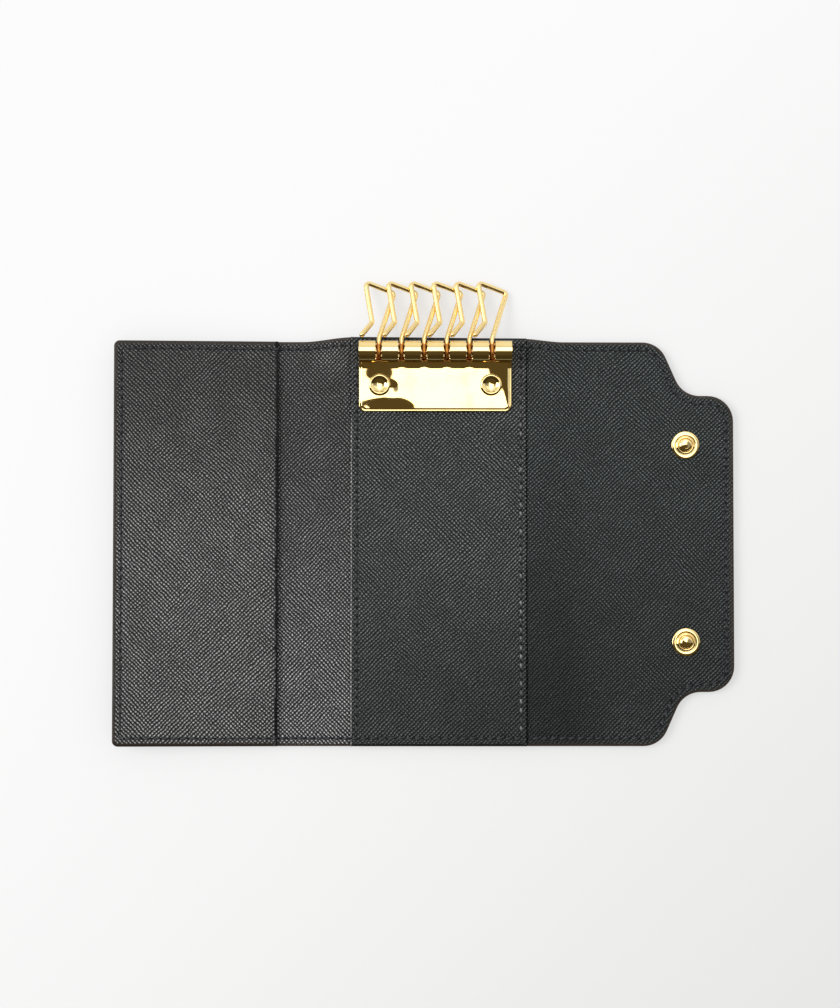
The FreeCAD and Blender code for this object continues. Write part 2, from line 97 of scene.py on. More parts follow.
@dataclass
class Surface:
    """A mesh as whole arrays: points in millimetres, quads, flat leather coordinates and a mark."""

    points: Array
    faces: Array
    flat: Array
    mark: Array

    @classmethod
    def grid(cls, points: Array, mark: Array | float = 0.0, turn: bool = False,
             wrap: tuple[bool, bool] = (False, False)) -> "Surface":
        """Make the quads of a grid; the normal is the row step crossed with the column step.

        Args:
            points: Array of rows, columns and three coordinates; X and Y are the flat coordinates too.
            mark: Mask value, or one per point.
            turn: True to face the other way.
            wrap: Whether the last row joins the first, and the last column the first.

        Returns:
            The surface.
        """
        rows, cols = points.shape[:2]
        index = np.arange(rows * cols).reshape(rows, cols)
        if wrap[0]:
            index = np.vstack([index, index[:1]])
        if wrap[1]:
            index = np.hstack([index, index[:, :1]])
        quads = cells(index).reshape(-1, 4)
        if turn:
            quads = quads[:, ::-1]
        marks = np.broadcast_to(np.asarray(mark, dtype=float), (rows, cols))
        return cls(points.reshape(-1, 3), quads, points[..., :2].reshape(-1, 2), marks.reshape(-1))

    @classmethod
    def joined(cls, parts: Sequence["Surface"]) -> "Surface":
        """Put several surfaces into one mesh.

        Args:
            parts: The surfaces, in any order.

        Returns:
            One surface with the quads renumbered.
        """
        starts = np.cumsum([0] + [len(part.points) for part in parts[:-1]])
        faces = np.concatenate([part.faces + start for part, start in zip(parts, starts)])
        points, flat, mark = (np.concatenate([getattr(part, name) for part in parts])
                              for name in ("points", "flat", "mark"))
        return cls(points, faces, flat, mark)

    def bent(self, move: Callable[[Array], Array]) -> "Surface":
        """Return the surface with its points moved by a function of all of them."""
        return Surface(move(self.points), self.faces, self.flat, self.mark)

    def build(self, name: str, material: Material, crease: float = 48.0) -> Piece:
        """Make the Blender object: doubles merged, open ends closed, faces outwards, smooth shading.

        Args:
            name: Name of the piece.
            material: Its finish.
            crease: Angle in degrees above which an edge shades sharp.

        Returns:
            The object, at the origin, in metres.
        """
        mesh = bpy.data.meshes.new(name)
        mesh.from_pydata((self.points * MM).tolist(), [], self.faces.tolist())
        corner = np.empty(len(mesh.loops), dtype=np.int32)
        mesh.loops.foreach_get("vertex_index", corner)
        layer = mesh.uv_layers.new(name=UV_NAME)
        layer.data.foreach_set("uv", (self.flat[corner] * UV_SHARE).astype(np.float32).ravel())
        mask = mesh.attributes.new(MARK_NAME, "FLOAT", "POINT")
        mask.data.foreach_set("value", self.mark.astype(np.float32))
        form = bmesh.new()
        form.from_mesh(mesh)
        bmesh.ops.remove_doubles(form, verts=form.verts, dist=MERGE_M)
        bmesh.ops.dissolve_degenerate(form, edges=form.edges, dist=SLIVER_M)
        rim = [edge for edge in form.edges if edge.is_boundary]
        if rim:
            bmesh.ops.holes_fill(form, edges=rim, sides=0)
        bmesh.ops.recalc_face_normals(form, faces=form.faces)
        form.to_mesh(mesh)
        form.free()
        mesh.polygons.foreach_set("use_smooth", np.ones(len(mesh.polygons), dtype=bool))
        mesh.set_sharp_from_angle(angle=math.radians(crease))
        mesh.materials.append(material)
        mesh.update()
        piece = bpy.data.objects.new(name, mesh)
        bpy.context.scene.collection.objects.link(piece)
        return piece


def enter(piece: Piece, nodes: Sequence[str] = (), body: str = "") -> Piece:
    """Hide the solids that a piece stands for, hang it on its body, and log it.

    Args:
        piece: The piece.
        nodes: Solids that it stands for.
        body: Body that it is hung on; left out for pieces that are hung on none.

    Returns:
        The piece.
    """
    if nodes:
        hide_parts(*nodes)
    if body:
        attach(piece, body)
    LOG.info("%s: %d faces", piece.name, len(piece.data.polygons))
    return piece


def smoothstep(value: Array | float) -> Array:
    """Return 3t squared minus 2t cubed of the value held between 0 and 1."""
    share = np.clip(value, 0.0, 1.0)
    return share * share * (3.0 - 2.0 * share)


def bump(value: Array, centre: float, width: float) -> Array:
    """Return a bell of height 1: the exponential of minus the squared distance over the width."""
    return np.exp(-((value - centre) / width) ** 2)


def level(x: Array, y: Array) -> Array:
    """Return no relief at any place."""
    return np.zeros(np.broadcast(x, y).shape)


def unit(rows: Array) -> Array:
    """Return each row over its length."""
    return rows / np.linalg.norm(rows, axis=1, keepdims=True)


def reaches(path: Array) -> Array:
    """Return the distance along a path at each of its points."""
    return np.concatenate([[0.0], np.cumsum(np.linalg.norm(np.diff(path, axis=0), axis=1))])


def spots(path: Array, where: Array) -> Array:
    """Return the points of a plane path at the given distances along it."""
    reach = reaches(path)
    return np.stack([np.interp(where, reach, path[:, axis]) for axis in (0, 1)], axis=1)


def rounded_path(points: Array, radii: Sequence[float], steps: int) -> Array:
    """Round the inner corners of an open path with arcs that touch both runs.

    At each corner the arc starts the radius times the tangent of half the turn before it, and its points
    are turned evenly about the centre, which lies beside the run on the side that the path turns to.

    Args:
        points: Corners of the path, two coordinates each.
        radii: Radius at each inner corner.
        steps: Runs in each arc.

    Returns:
        The points of the rounded path.
    """
    ways = unit(np.diff(points, axis=0))
    turns = np.arctan2(ways[:-1, 0] * ways[1:, 1] - ways[:-1, 1] * ways[1:, 0],
                       np.sum(ways[:-1] * ways[1:], axis=1))
    sides = np.sign(turns)[:, None] * np.stack([-ways[:-1, 1], ways[:-1, 0]], axis=1)
    radius = np.asarray(radii, dtype=float)[:, None]
    starts = points[1:-1] - ways[:-1] * radius * np.tan(np.abs(turns) / 2.0)[:, None]
    centres = starts + sides * radius
    angles = turns[:, None] * np.linspace(0.0, 1.0, steps + 1)[None, :]
    arm = starts - centres
    arcs = np.stack([
        centres[:, :1] + arm[:, :1] * np.cos(angles) - arm[:, 1:] * np.sin(angles),
        centres[:, 1:] + arm[:, :1] * np.sin(angles) + arm[:, 1:] * np.cos(angles)], axis=-1)
    return np.concatenate([points[:1], arcs.reshape(-1, 2), points[-1:]])


def resampled(path: Array, pitch: float) -> tuple[Array, Array]:
    """Place marks along a path at an even pitch near the one given, the first half a pitch from its start.

    Args:
        path: Points of the path.
        pitch: Wanted distance from mark to mark.

    Returns:
        The marks, and the way of the path at each, from a little behind it to a little ahead.
    """
    length, little = reaches(path)[-1], 0.2
    count = max(int(round(length / pitch)), 1)
    where = (np.arange(count) + 0.5) * length / count
    return spots(path, where), unit(spots(path, where + little) - spots(path, where - little))


def lathe(profile: Array, centre: Sequence[float], sides: int = 56) -> Surface:
    """Turn a profile about a vertical axis: radius times the cosine and sine of an even angle.

    Args:
        profile: Radius and height of each point, from the bottom outwards and up to the top.
        centre: X and Y of the axis and the height that is added.
        sides: Divisions round the axis.

    Returns:
        The turned surface.
    """
    angle = np.linspace(0.0, ROUND, sides, endpoint=False)
    radius, height = profile[:, :1], profile[:, 1:]
    points = np.stack([centre[0] + radius * np.cos(angle), centre[1] + radius * np.sin(angle),
                       centre[2] + height + 0.0 * angle], axis=-1)
    return Surface.grid(points, wrap=(False, True), turn=True)


def tube(path: Array, side: Array, radius: Array, mark: Array, faces: int = 14) -> Surface:
    """Carry a circle along a plane path.

    The ring at each point lies across the path's way, spanned by the plane's normal and its cross product
    with the way.

    Args:
        path: Points of the path in space.
        side: Normal of the path's plane.
        radius: Radius at each point.
        mark: Mask value at each point.
        faces: Divisions round the wire.

    Returns:
        The tube's surface.
    """
    across = unit(np.cross(side, unit(np.gradient(path, axis=0))))
    angle = np.linspace(0.0, ROUND, faces, endpoint=False)
    ring = (across[:, None, :] * np.cos(angle)[None, :, None]
            + side[None, None, :] * np.sin(angle)[None, :, None])
    points = path[:, None, :] + ring * radius[:, None, None]
    return Surface.grid(points, mark=mark[:, None], wrap=(False, True))


# ------------------------------------------------------------------------------------ finishes


class Graph:
    """A node tree with short ways to add, wire and combine nodes."""

    def __init__(self, tree: bpy.types.NodeTree) -> None:
        """Keep the tree."""
        self.tree = tree

    def fill(self, node: bpy.types.Node, inputs: dict[Any, Any]) -> None:
        """Link or set several inputs of a node, given by name or number."""
        for name, value in inputs.items():
            self.feed(node.inputs[name], value)

    def feed(self, socket: Socket, value: Any) -> None:
        """Link a socket to another, or set its constant.

        Args:
            socket: The input.
            value: Socket or constant.
        """
        if isinstance(value, Socket):
            self.tree.links.new(value, socket)
        else:
            socket.default_value = value

    def add(self, kind: str, inputs: dict[Any, Any] | None = None, **settings: Any) -> bpy.types.Node:
        """Add a node.

        Args:
            kind: Type of the node, without the words that all shader nodes' types start with.
            inputs: Socket or constant for each input, by name or number.
            settings: Properties, set before the inputs.

        Returns:
            The node.
        """
        made = self.tree.nodes.new(f"ShaderNode{kind}")
        for name, value in settings.items():
            setattr(made, name, value)
        self.fill(made, inputs or {})
        return made

    def math(self, operation: str, *values: Any, clamp: bool = False) -> Socket:
        """Return the result of a Math node, fed in its order and held between 0 and 1 if clamped."""
        return self.add("Math", dict(enumerate(values)), operation=operation, use_clamp=clamp).outputs[0]

    def ramp(self, value: Any, low: float, high: float, to_low: float, to_high: float) -> Socket:
        """Return a range mapped smoothly on to another: low gives to_low, and high to_high."""
        made = self.add("MapRange", {"Value": value, "From Min": low, "From Max": high, "To Min": to_low,
                                     "To Max": to_high}, interpolation_type="SMOOTHSTEP")
        return made.outputs["Result"]

    def mix(self, factor: Any, first: Any, second: Any, kind: str = "Color") -> Socket:
        """Mix two colours or numbers.

        Args:
            factor: Share of the second.
            first: Colour or number at 0.
            second: Colour or number at 1.
            kind: Color or Float.

        Returns:
            The result's socket.
        """
        made = self.add("Mix", data_type="RGBA" if kind == "Color" else "FLOAT")
        sockets = {socket.identifier: socket for socket in made.inputs}
        self.feed(sockets["Factor_Float"], factor)
        for name, value in ((f"A_{kind}", first), (f"B_{kind}", second)):
            self.feed(sockets[name], (*value, 1.0) if isinstance(value, tuple) else value)
        return next(socket for socket in made.outputs if socket.identifier == f"Result_{kind}")

    def blend(self, factor: Any, first: Any, second: Any) -> Socket:
        """Mix two numbers."""
        return self.mix(factor, first, second, "Float")

    def noise(self, vector: Any, scale: float, detail: float = 2.0, roughness: float = 0.5,
              output: str = "Fac") -> Socket:
        """Return an output, Fac or Color, of a noise texture at the place that the vector gives."""
        inputs = {"Vector": vector, "Scale": scale, "Detail": detail, "Roughness": roughness}
        return self.add("TexNoise", inputs).outputs[output]

    def split(self, value: Any, kind: str = "XYZ") -> Sequence[Socket]:
        """Return the three parts of a vector (XYZ) or colour (Color)."""
        return self.add(f"Separate{kind}", {0: value}).outputs

    def place(self, output: str = "Object") -> Socket:
        """Return a socket of texture coordinates."""
        return self.add("TexCoord").outputs[output]

    def developed(self) -> Socket:
        """Return the piece's own flat coordinates."""
        return self.add("UVMap", uv_map=UV_NAME).outputs["UV"]

    def mark(self) -> Socket:
        """Return the piece's mark."""
        return self.add("Attribute", attribute_name=MARK_NAME).outputs["Fac"]

    def relief(self, height: Any, depth: float) -> Socket:
        """Return the normal of a bump whose full height is the depth in millimetres."""
        return self.add("Bump", {"Distance": depth * MM, "Height": height}).outputs["Normal"]


class SharedGroup:
    """A shader node group with a Vector and further numbers as inputs and numbers as outputs, made once."""

    NAME = ""
    INPUTS: dict[str, float] = {}
    OUTPUTS: tuple[str, ...] = ()

    @classmethod
    def tree(cls) -> bpy.types.NodeTree:
        """Find or make the group.

        Returns:
            The node tree.
        """
        found = bpy.data.node_groups.get(cls.NAME)
        if found:
            return found
        tree = bpy.data.node_groups.new(cls.NAME, "ShaderNodeTree")
        tree.interface.new_socket("Vector", in_out="INPUT", socket_type="NodeSocketVector")
        for label, default in cls.INPUTS.items():
            socket = tree.interface.new_socket(label, in_out="INPUT", socket_type="NodeSocketFloat")
            socket.default_value = default
        for label in cls.OUTPUTS:
            tree.interface.new_socket(label, in_out="OUTPUT", socket_type="NodeSocketFloat")
        graph = Graph(tree)
        given = {socket.name: socket for socket in tree.nodes.new("NodeGroupInput").outputs}
        graph.fill(tree.nodes.new("NodeGroupOutput"), cls.wire(graph, given))
        return tree

    @classmethod
    def wire(cls, graph: Graph, given: dict[str, Socket]) -> dict[str, Socket]:
        """Return the socket of each output, wired from the inputs."""
        raise NotImplementedError


class GrainGroup(SharedGroup):
    """The embossed crosshatch grain: Height, Tone and Gloss between 0 and 1; Tone lightens the raised dots and
    lines, partly the grain's own tone and partly painted highlight.
    """

    NAME = "crosshatch_grain"
    INPUTS = {"Period": 0.82, "Warp": 0.16, "Lean": 0.0}
    OUTPUTS = ("Height", "Tone", "Gloss")
    SWAY_SCALE, FAN_SCALE, LEAD_SCALE = 0.55, 0.045, 0.07
    FINE_SCALE, PORE_SCALE, MOTTLE_SCALE = 1.9, 5.5, 0.13
    SWAY_TURNS, FAN_TURNS = 6.0, 2.0
    LINE_HEIGHT, PORE_HEIGHT = 0.26, 0.16
    LINE_TONE, DOT_TONE, TONE_POWER = 0.46, 0.54, 2.3

    @classmethod
    def wire(cls, graph: Graph, given: dict[str, Socket]) -> dict[str, Socket]:
        """Wire the grain.

        Two families of lines at 45 degrees, each a cosine of the distance across it, are warped by noise.
        Their product gives rows of raised dots, and a slow noise decides which family stands out where.

        Args:
            graph: The group's graph.
            given: Sockets of the inputs.

        Returns:
            The socket of each output.
        """
        vector = given["Vector"]
        across, along, _ = graph.split(vector)
        sway = graph.split(graph.noise(vector, cls.SWAY_SCALE, output="Color"), "Color")
        fan = graph.split(graph.noise(vector, cls.FAN_SCALE, 0.0, output="Color"), "Color")
        swing = graph.math("MULTIPLY", given["Warp"], cls.SWAY_TURNS)
        families = []
        for sign, channel in ((1.0, "Red"), (-1.0, "Green")):
            slanted = graph.math("MULTIPLY", graph.math("MULTIPLY_ADD", along, sign, across), math.sqrt(0.5))
            drift = graph.math("MULTIPLY", graph.math("SUBTRACT", sway[channel], 0.5), swing)
            drift = graph.math("MULTIPLY_ADD", fan[channel], cls.FAN_TURNS, drift)
            turns = graph.math("ADD", graph.math("DIVIDE", slanted, given["Period"]), drift)
            wave = graph.math("COSINE", graph.math("MULTIPLY", turns, ROUND))
            families.append(graph.math("MULTIPLY_ADD", wave, 0.5, 0.5))
        dots = graph.math("MULTIPLY", *families)
        chance = graph.math("ADD", graph.noise(vector, cls.LEAD_SCALE), given["Lean"])
        lines = graph.blend(graph.ramp(chance, 0.32, 0.68, 0.06, 0.94), *families)
        fine = graph.noise(vector, cls.FINE_SCALE, 2.0, 0.6)
        body = graph.math("MULTIPLY", graph.blend(cls.LINE_HEIGHT, dots, lines),
                          graph.ramp(fine, 0.28, 0.72, 0.45, 1.15))
        pores = graph.math("SUBTRACT", graph.noise(vector, cls.PORE_SCALE, 1.0), 0.5)
        height = graph.math("MULTIPLY_ADD", pores, cls.PORE_HEIGHT, body)
        # Tone: the raised dots and lines lighter, partly the grain's own tone and partly painted highlight on
        # their lit slopes.
        crisp = graph.math("MULTIPLY_ADD", lines, cls.LINE_TONE, graph.math("MULTIPLY", dots, cls.DOT_TONE))
        crisp = graph.math("MULTIPLY", graph.math("POWER", crisp, cls.TONE_POWER),
                           graph.ramp(fine, 0.25, 0.75, 0.3, 1.6))
        mottle = graph.ramp(graph.noise(vector, cls.MOTTLE_SCALE, 3.0, 0.6), 0.3, 0.7, 0.84, 1.1)
        gloss = graph.math("MULTIPLY_ADD", graph.math("SUBTRACT", fine, 0.5), 0.5,
                           graph.math("MULTIPLY_ADD", height, 0.6, 0.2), clamp=True)
        return {"Height": height, "Tone": graph.math("MULTIPLY", crisp, mottle, clamp=True), "Gloss": gloss}


class PolishGroup(SharedGroup):
    """Handling marks on polished metal: Haze and Tarnish masks and a Height, between 0 and 1."""

    NAME = "polish_marks"
    OUTPUTS = ("Haze", "Tarnish", "Height")
    SCRATCH_SCALE, SCRATCH_TURN = (900.0, 9000.0, 900.0), (0.0, 0.0, 0.5)
    CLOUD_SCALE, TARNISH_SCALE, HEIGHT_SCALE = 420.0, 190.0, 110.0

    @classmethod
    def wire(cls, graph: Graph, given: dict[str, Socket]) -> dict[str, Socket]:
        """Wire the marks: scratches are a noise stretched along one way, the rest plain noises.

        Args:
            graph: The group's graph.
            given: Sockets of the inputs.

        Returns:
            The socket of each output.
        """
        vector = given["Vector"]
        stretched = graph.add("Mapping", {"Vector": vector, "Scale": cls.SCRATCH_SCALE,
                                          "Rotation": cls.SCRATCH_TURN}).outputs["Vector"]
        scratch = graph.ramp(graph.noise(stretched, 1.0), 0.58, 0.72, 0.0, 1.0)
        cloud = graph.math("MULTIPLY", graph.noise(vector, cls.CLOUD_SCALE, 3.0, 0.6), 0.6)
        return {"Haze": graph.math("MULTIPLY_ADD", scratch, 0.5, cloud, clamp=True),
                "Tarnish": graph.ramp(graph.noise(vector, cls.TARNISH_SCALE, 3.0), 0.45, 0.75, 0.0, 1.0),
                "Height": graph.noise(vector, cls.HEIGHT_SCALE, 1.0)}


def new_material(name: str) -> tuple[Graph, bpy.types.Node]:
    """Start a material with only its Principled shader and output.

    Args:
        name: Name of the material.

    Returns:
        The graph and the Principled node.
    """
    material = bpy.data.materials.new(name)
    material.use_nodes = True
    shader = next(node for node in material.node_tree.nodes if node.type == "BSDF_PRINCIPLED")
    return Graph(material.node_tree), shader


def shaded(colour: Colour, share: float) -> Colour:
    """Return a share of a colour."""
    return tuple(share * part for part in colour)


@dataclass(frozen=True)
class LeatherFinish:
    """Black embossed leather with painted edges."""

    name: str
    low: Colour
    # high: colour of the raised grain, partly its own tone and partly painted highlight.
    high: Colour
    lean: Four = (0.0, 0.0, 0.0, 0.0)
    turn: Pair = (-38.0, 2.0)
    # far: the painted light factor beyond an X, from the bottom to the top.
    far: Four = (FAR, FAR + 1.0, 1.0, 1.0)
    tint: Colour = (1.0, 1.0, 1.0)
    # gleam: a painted highlight round one point: X, Y, radius and strength.
    gleam: Four = (0.0, 0.0, 1.0, 0.0)
    span: Pair = (-30.0, 30.0)
    rise: Pair = (-50.0, 40.0)
    # Painted light: the grain's tone made brighter or darker at the lower left, upper left, lower right and
    # upper right.
    wear: Four = (1.0, 1.0, 1.0, 1.0)
    depth: float = 0.42
    rough: Pair = (0.44, 0.26)
    shine: float = 0.28
    # edge: colour of the edge paint; on the key patch a light grey, which is a painted highlight of its west
    # cut edge.
    edge: Colour = (0.036, 0.024, 0.0165)
    # fold: near-black, painted shade at the pocket's free edge and the key patch's east edge, and the plain
    # dark edge at the patch's ends.
    fold: Colour = (0.004, 0.004, 0.005)
    edge_rough: float = 0.38
    edge_grain: float = 0.0

    def material(self) -> Material:
        """Build the leather on the piece's developed coordinates, in millimetres.

        The grain's tone, whose lighter raised dots are partly painted highlight, is multiplied by a painted
        light factor, blended over the plan from its values at the lower left, upper left, lower right and upper
        right, and beyond that from its far values. The grain's lean is blended in the same way, the tint
        colours the right, and a painted highlight lies round one point. A mark above 0 is edge paint, and on
        the key patch's west edge a painted highlight; below 0 it is near-black, painted shade at the pocket's
        free edge and the patch's east edge, and the plain dark edge at the patch's ends.

        Returns:
            The material.
        """
        graph, shader = new_material(self.name)
        place = graph.add("Mapping", {"Vector": graph.developed(),
                                      "Scale": (1.0 / UV_SHARE, 1.0 / UV_SHARE, 1.0)}).outputs["Vector"]
        x, y, _ = graph.split(place)
        side = graph.ramp(x, *self.span, 0.0, 1.0)
        # Painted light factor: brighter and darker regions of the grain's tone, blended over the plan.
        lean, painted_light_factor = (graph.blend(side, graph.ramp(y, *reach, *four[:2]), graph.ramp(y, *reach, *four[2:]))
                      for reach, four in ((self.turn, self.lean), (self.rise, self.wear)))
        painted_light_factor = graph.blend(graph.ramp(x, *self.far[:2], 0.0, 1.0), painted_light_factor,
                           graph.ramp(y, *self.rise, *self.far[2:]))
        # Painted highlight round one point, added to the painted light factor.
        apart = graph.add("VectorMath", {0: place, 1: (*self.gleam[:2], 0.0)}, operation="DISTANCE")
        gleam = graph.ramp(apart.outputs["Value"], 0.0, self.gleam[2], self.gleam[3], 0.0)
        grain = graph.add("Group", {"Vector": place, "Lean": lean}, node_tree=GrainGroup.tree()).outputs
        tone = graph.math("MULTIPLY", grain["Tone"], graph.math("ADD", painted_light_factor, gleam))
        mark = graph.mark()
        painted = graph.math("MAXIMUM", mark, 0.0)
        # Near-black where the mark is below 0: painted shade, and at the key patch's ends its plain dark edge.
        painted_dark = graph.math("MULTIPLY", mark, -1.0, clamp=True)
        plain = graph.math("SUBTRACT", 1.0, graph.math("ABSOLUTE", mark), clamp=True)
        light = graph.mix(side, self.high, tuple(h * t for h, t in zip(self.high, self.tint)))
        sunk = graph.math("MULTIPLY", graph.ramp(grain["Height"], 0.1, 0.6, 1.0, 0.0), self.edge_grain)
        colour = graph.mix(painted, graph.mix(tone, self.low, light), graph.mix(sunk, self.edge, self.low))
        rough = graph.ramp(grain["Gloss"], 0.0, 1.0, *self.rough)
        graph.fill(shader, {
            "Base Color": graph.mix(painted_dark, colour, self.fold),
            "Roughness": graph.blend(painted, rough, self.edge_rough),
            "Normal": graph.relief(graph.math("MULTIPLY", grain["Height"], plain), self.depth),
            "Specular IOR Level": self.shine})
        return bpy.data.materials[self.name]


@dataclass(frozen=True)
class ThreadFinish:
    """Black waxed thread with its twist; the mark paints the needle holes near-black as painted shade."""

    name: str
    colour: Colour = (0.010, 0.011, 0.016)
    rough: float = 0.5
    # glint: strength of the painted highlight on one end of each stitch.
    glint: float = 0.035
    uneven: bool = False
    strands: float = 1700.0
    depth: float = 0.05
    # bright: colour of that painted highlight.
    bright: Colour = (0.8, 0.8, 0.8)
    # hole: near-black painted shade of the needle holes.
    hole: Colour = (0.003, 0.003, 0.003)
    hole_rough: float = 0.95

    def material(self) -> Material:
        """Build the thread from the stitch's own coordinates.

        The strands are slanted cosines, and one end of each stitch gets a painted highlight, varied by chance
        if uneven.

        Returns:
            The material.
        """
        graph, shader = new_material(self.name)
        along, across, _ = graph.split(graph.developed())
        slanted = graph.math("MULTIPLY_ADD", across, 0.9, along)
        twist = graph.math("COSINE", graph.math("MULTIPLY", slanted, self.strands))
        strand = graph.math("MULTIPLY_ADD", twist, 0.5, 0.5)
        mark = graph.mark()
        lit = graph.mix(strand, shaded(self.colour, 0.55), shaded(self.colour, 1.5))
        # Painted highlight on one end of each stitch.
        painted_light_mask = graph.ramp(along, -0.006, 0.005, 0.0, self.glint)
        if self.uneven:
            chance = graph.noise(graph.place(), 330.0, 1.0)
            painted_light_mask = graph.math("MULTIPLY", painted_light_mask, graph.ramp(chance, 0.38, 0.66, 0.1, 1.0))
        lit = graph.mix(painted_light_mask, lit, self.bright)
        graph.fill(shader, {"Base Color": graph.mix(mark, lit, self.hole),
                            "Roughness": graph.blend(mark, self.rough, self.hole_rough),
                            "Normal": graph.relief(strand, self.depth)})
        return bpy.data.materials[self.name]


@dataclass(frozen=True)
class MetalFinish:
    """Gold plating or plain brass with handling marks."""

    name: str
    colour: Colour
    tarnish: Colour
    rough: Pair = (0.012, 0.045)
    wave: float = 0.002
    # Painted shade and inter-reflection of the parts inside the barrel, orange-brown.
    deep: Colour = (0.72, 0.34, 0.08)
    deep_rough: float = 0.5

    def material(self) -> Material:
        """Build the metal on Object coordinates; the mark paints an orange-brown shade and inter-reflection on
        the parts inside the barrel.

        Returns:
            The material.
        """
        graph, shader = new_material(self.name)
        marks = graph.add("Group", {"Vector": graph.place()}, node_tree=PolishGroup.tree()).outputs
        plated = graph.mix(marks["Tarnish"], self.colour, self.tarnish)
        polish = graph.ramp(marks["Haze"], 0.0, 1.0, *self.rough)
        # The mark picks the parts that take the painted shade inside the barrel.
        painted_light_mask = graph.mark()
        graph.fill(shader, {"Base Color": graph.mix(painted_light_mask, plated, self.deep),
                            "Roughness": graph.blend(painted_light_mask, polish, self.deep_rough),
                            "Normal": graph.relief(marks["Height"], self.wave), "Metallic": 1.0})
        return bpy.data.materials[self.name]


@dataclass(frozen=True)
class BoardFinish:
    """Grey-brown bonded leather board: fibres as fine noise."""

    name: str
    colour: Colour = (0.35, 0.30, 0.24)

    def material(self) -> Material:
        """Build the board on Object coordinates.

        Returns:
            The material.
        """
        graph, shader = new_material(self.name)
        fibre = graph.noise(graph.place(), 1500.0, 4.0, 0.7)
        graph.fill(shader, {"Base Color": graph.mix(fibre, shaded(self.colour, 0.6), shaded(self.colour, 1.3)),
                            "Roughness": graph.ramp(fibre, 0.2, 0.8, 0.8, 0.95)})
        return bpy.data.materials[self.name]


class Finish(Enum):
    """The finishes of the case, each built once."""

    SHELL = LeatherFinish("shell_leather", (0.003, 0.003, 0.003), (0.28, 0.29, 0.29))
    # The lining's painted light: brighter low on the left, darker low on the right, and a painted highlight
    # near the top left of the patch.
    LINING = LeatherFinish(
        "lining_leather", (0.003, 0.003, 0.003), (0.87, 0.88, 0.875), lean=(-0.04, -0.02, 0.12, 0.06),
        span=(-26.0, 26.0), wear=(1.04, 0.48, 0.10, 0.34), far=(33.0, 52.0, 0.2, 0.33),
        tint=(0.88, 1.04, 1.03), gleam=(-30.0, 50.5, 7.5, 0.27))
    # The pocket's painted light: brighter towards the bottom.
    POCKET = LeatherFinish(
        "pocket_leather", (0.004, 0.004, 0.004), (0.76, 0.76, 0.755), lean=(-0.18, -0.2, 0.12, -0.1),
        span=(-88.0, -70.0), rise=(-5.0, 52.0), wear=(1.02, 0.5, 1.05, 0.52), edge=(0.024, 0.017, 0.012))
    # The key patch: its light grey edge colour is a painted highlight of the lit west cut edge, and its painted
    # light makes it darker towards the bottom.
    PANEL = LeatherFinish(
        "panel_leather", (0.003, 0.003, 0.003), (0.37, 0.402, 0.397), lean=(0.12, 0.0, 0.18, 0.04),
        span=(-22.0, 22.0), rise=(-52.0, 5.0), wear=(0.6, 1.0, 0.4, 1.0), depth=0.36,
        edge=(0.62, 0.61, 0.60), edge_rough=0.28, edge_grain=0.8)
    THREAD = ThreadFinish("black_thread")
    # The right row's stitches have a stronger painted highlight, varied by chance.
    ROW = ThreadFinish("row_thread", (0.016, 0.017, 0.02), rough=0.45, glint=0.3, uneven=True)
    GOLD = MetalFinish("polished_gold", (0.96, 0.75, 0.34), (0.92, 0.67, 0.27))
    WIRE = MetalFinish("gold_wire", (0.97, 0.75, 0.35), (0.95, 0.71, 0.30), rough=(0.16, 0.26))
    BRASS = MetalFinish("plain_brass", (0.78, 0.58, 0.28), (0.60, 0.42, 0.20), rough=(0.2, 0.4))
    BOARD = BoardFinish("board")

    def material(self) -> Material:
        """Find or build the material; a plain one of the frame gives up the name.

        Returns:
            The finish's material.
        """
        found = bpy.data.materials.get(self.value.name)
        if found and found.get("built"):
            return found
        if found:
            found.name = f"{self.value.name}_plain"
        made = self.value.material()
        made["built"] = True
        return made


# ------------------------------------------------------------------------------------ leather


class Zone(Enum):
    """The bending zones of the sheets.

    Each has the two bodies on either side of its fold, its fold line, its reach in X and the solids that a
    layer's sheet stands for.
    """

    WING = ("left_spine_3", "wing", -41.6573, -FAR, -39.0478, "wing_{}", "left_spine_{}_3")
    LEFT_3 = ("left_spine_2", "left_spine_3", -36.4382, -39.0478, -33.8287, "left_spine_{}_2")
    LEFT_2 = ("left_spine_1", "left_spine_2", -31.2191, -33.8287, -28.6096, "left_spine_{}_1")
    LEFT_1 = ("back", "left_spine_1", -26.0, -28.6096, 0.0, "back_{}")
    RIGHT_1 = ("back", "right_spine_1", 26.0, 0.0, 29.6451, "right_spine_{}_1")
    RIGHT_2 = ("right_spine_1", "right_spine_2", 33.2902, 29.6451, 36.9354, "right_spine_{}_2")
    RIGHT_3 = ("right_spine_2", "right_spine_3", 40.5803, 36.9354, 44.2254, "right_spine_{}_3")
    FLAP = ("right_spine_3", "flap", 47.8705, 44.2254, FAR, "flap_{}")

    @property
    def reach(self) -> Pair:
        """Return the lowest and highest X of the zone."""
        return self.value[3], self.value[4]

    @property
    def bend(self) -> Pair:
        """Return X where the bend starts, on the back's side, and where it ends."""
        fold = self.value[2]
        half = math.copysign(1.2 if fold < 0 else 1.6, fold)
        return fold - half, fold + half

    def nodes(self, layer: str) -> list[str]:
        """Return the solids that the zone's sheet of a layer, shell or lining, stands for."""
        return [name.format(layer) for name in self.value[5:]]

    def follow(self, piece: Piece) -> None:
        """Bake a piece's transform into its mesh."""
        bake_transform(piece)


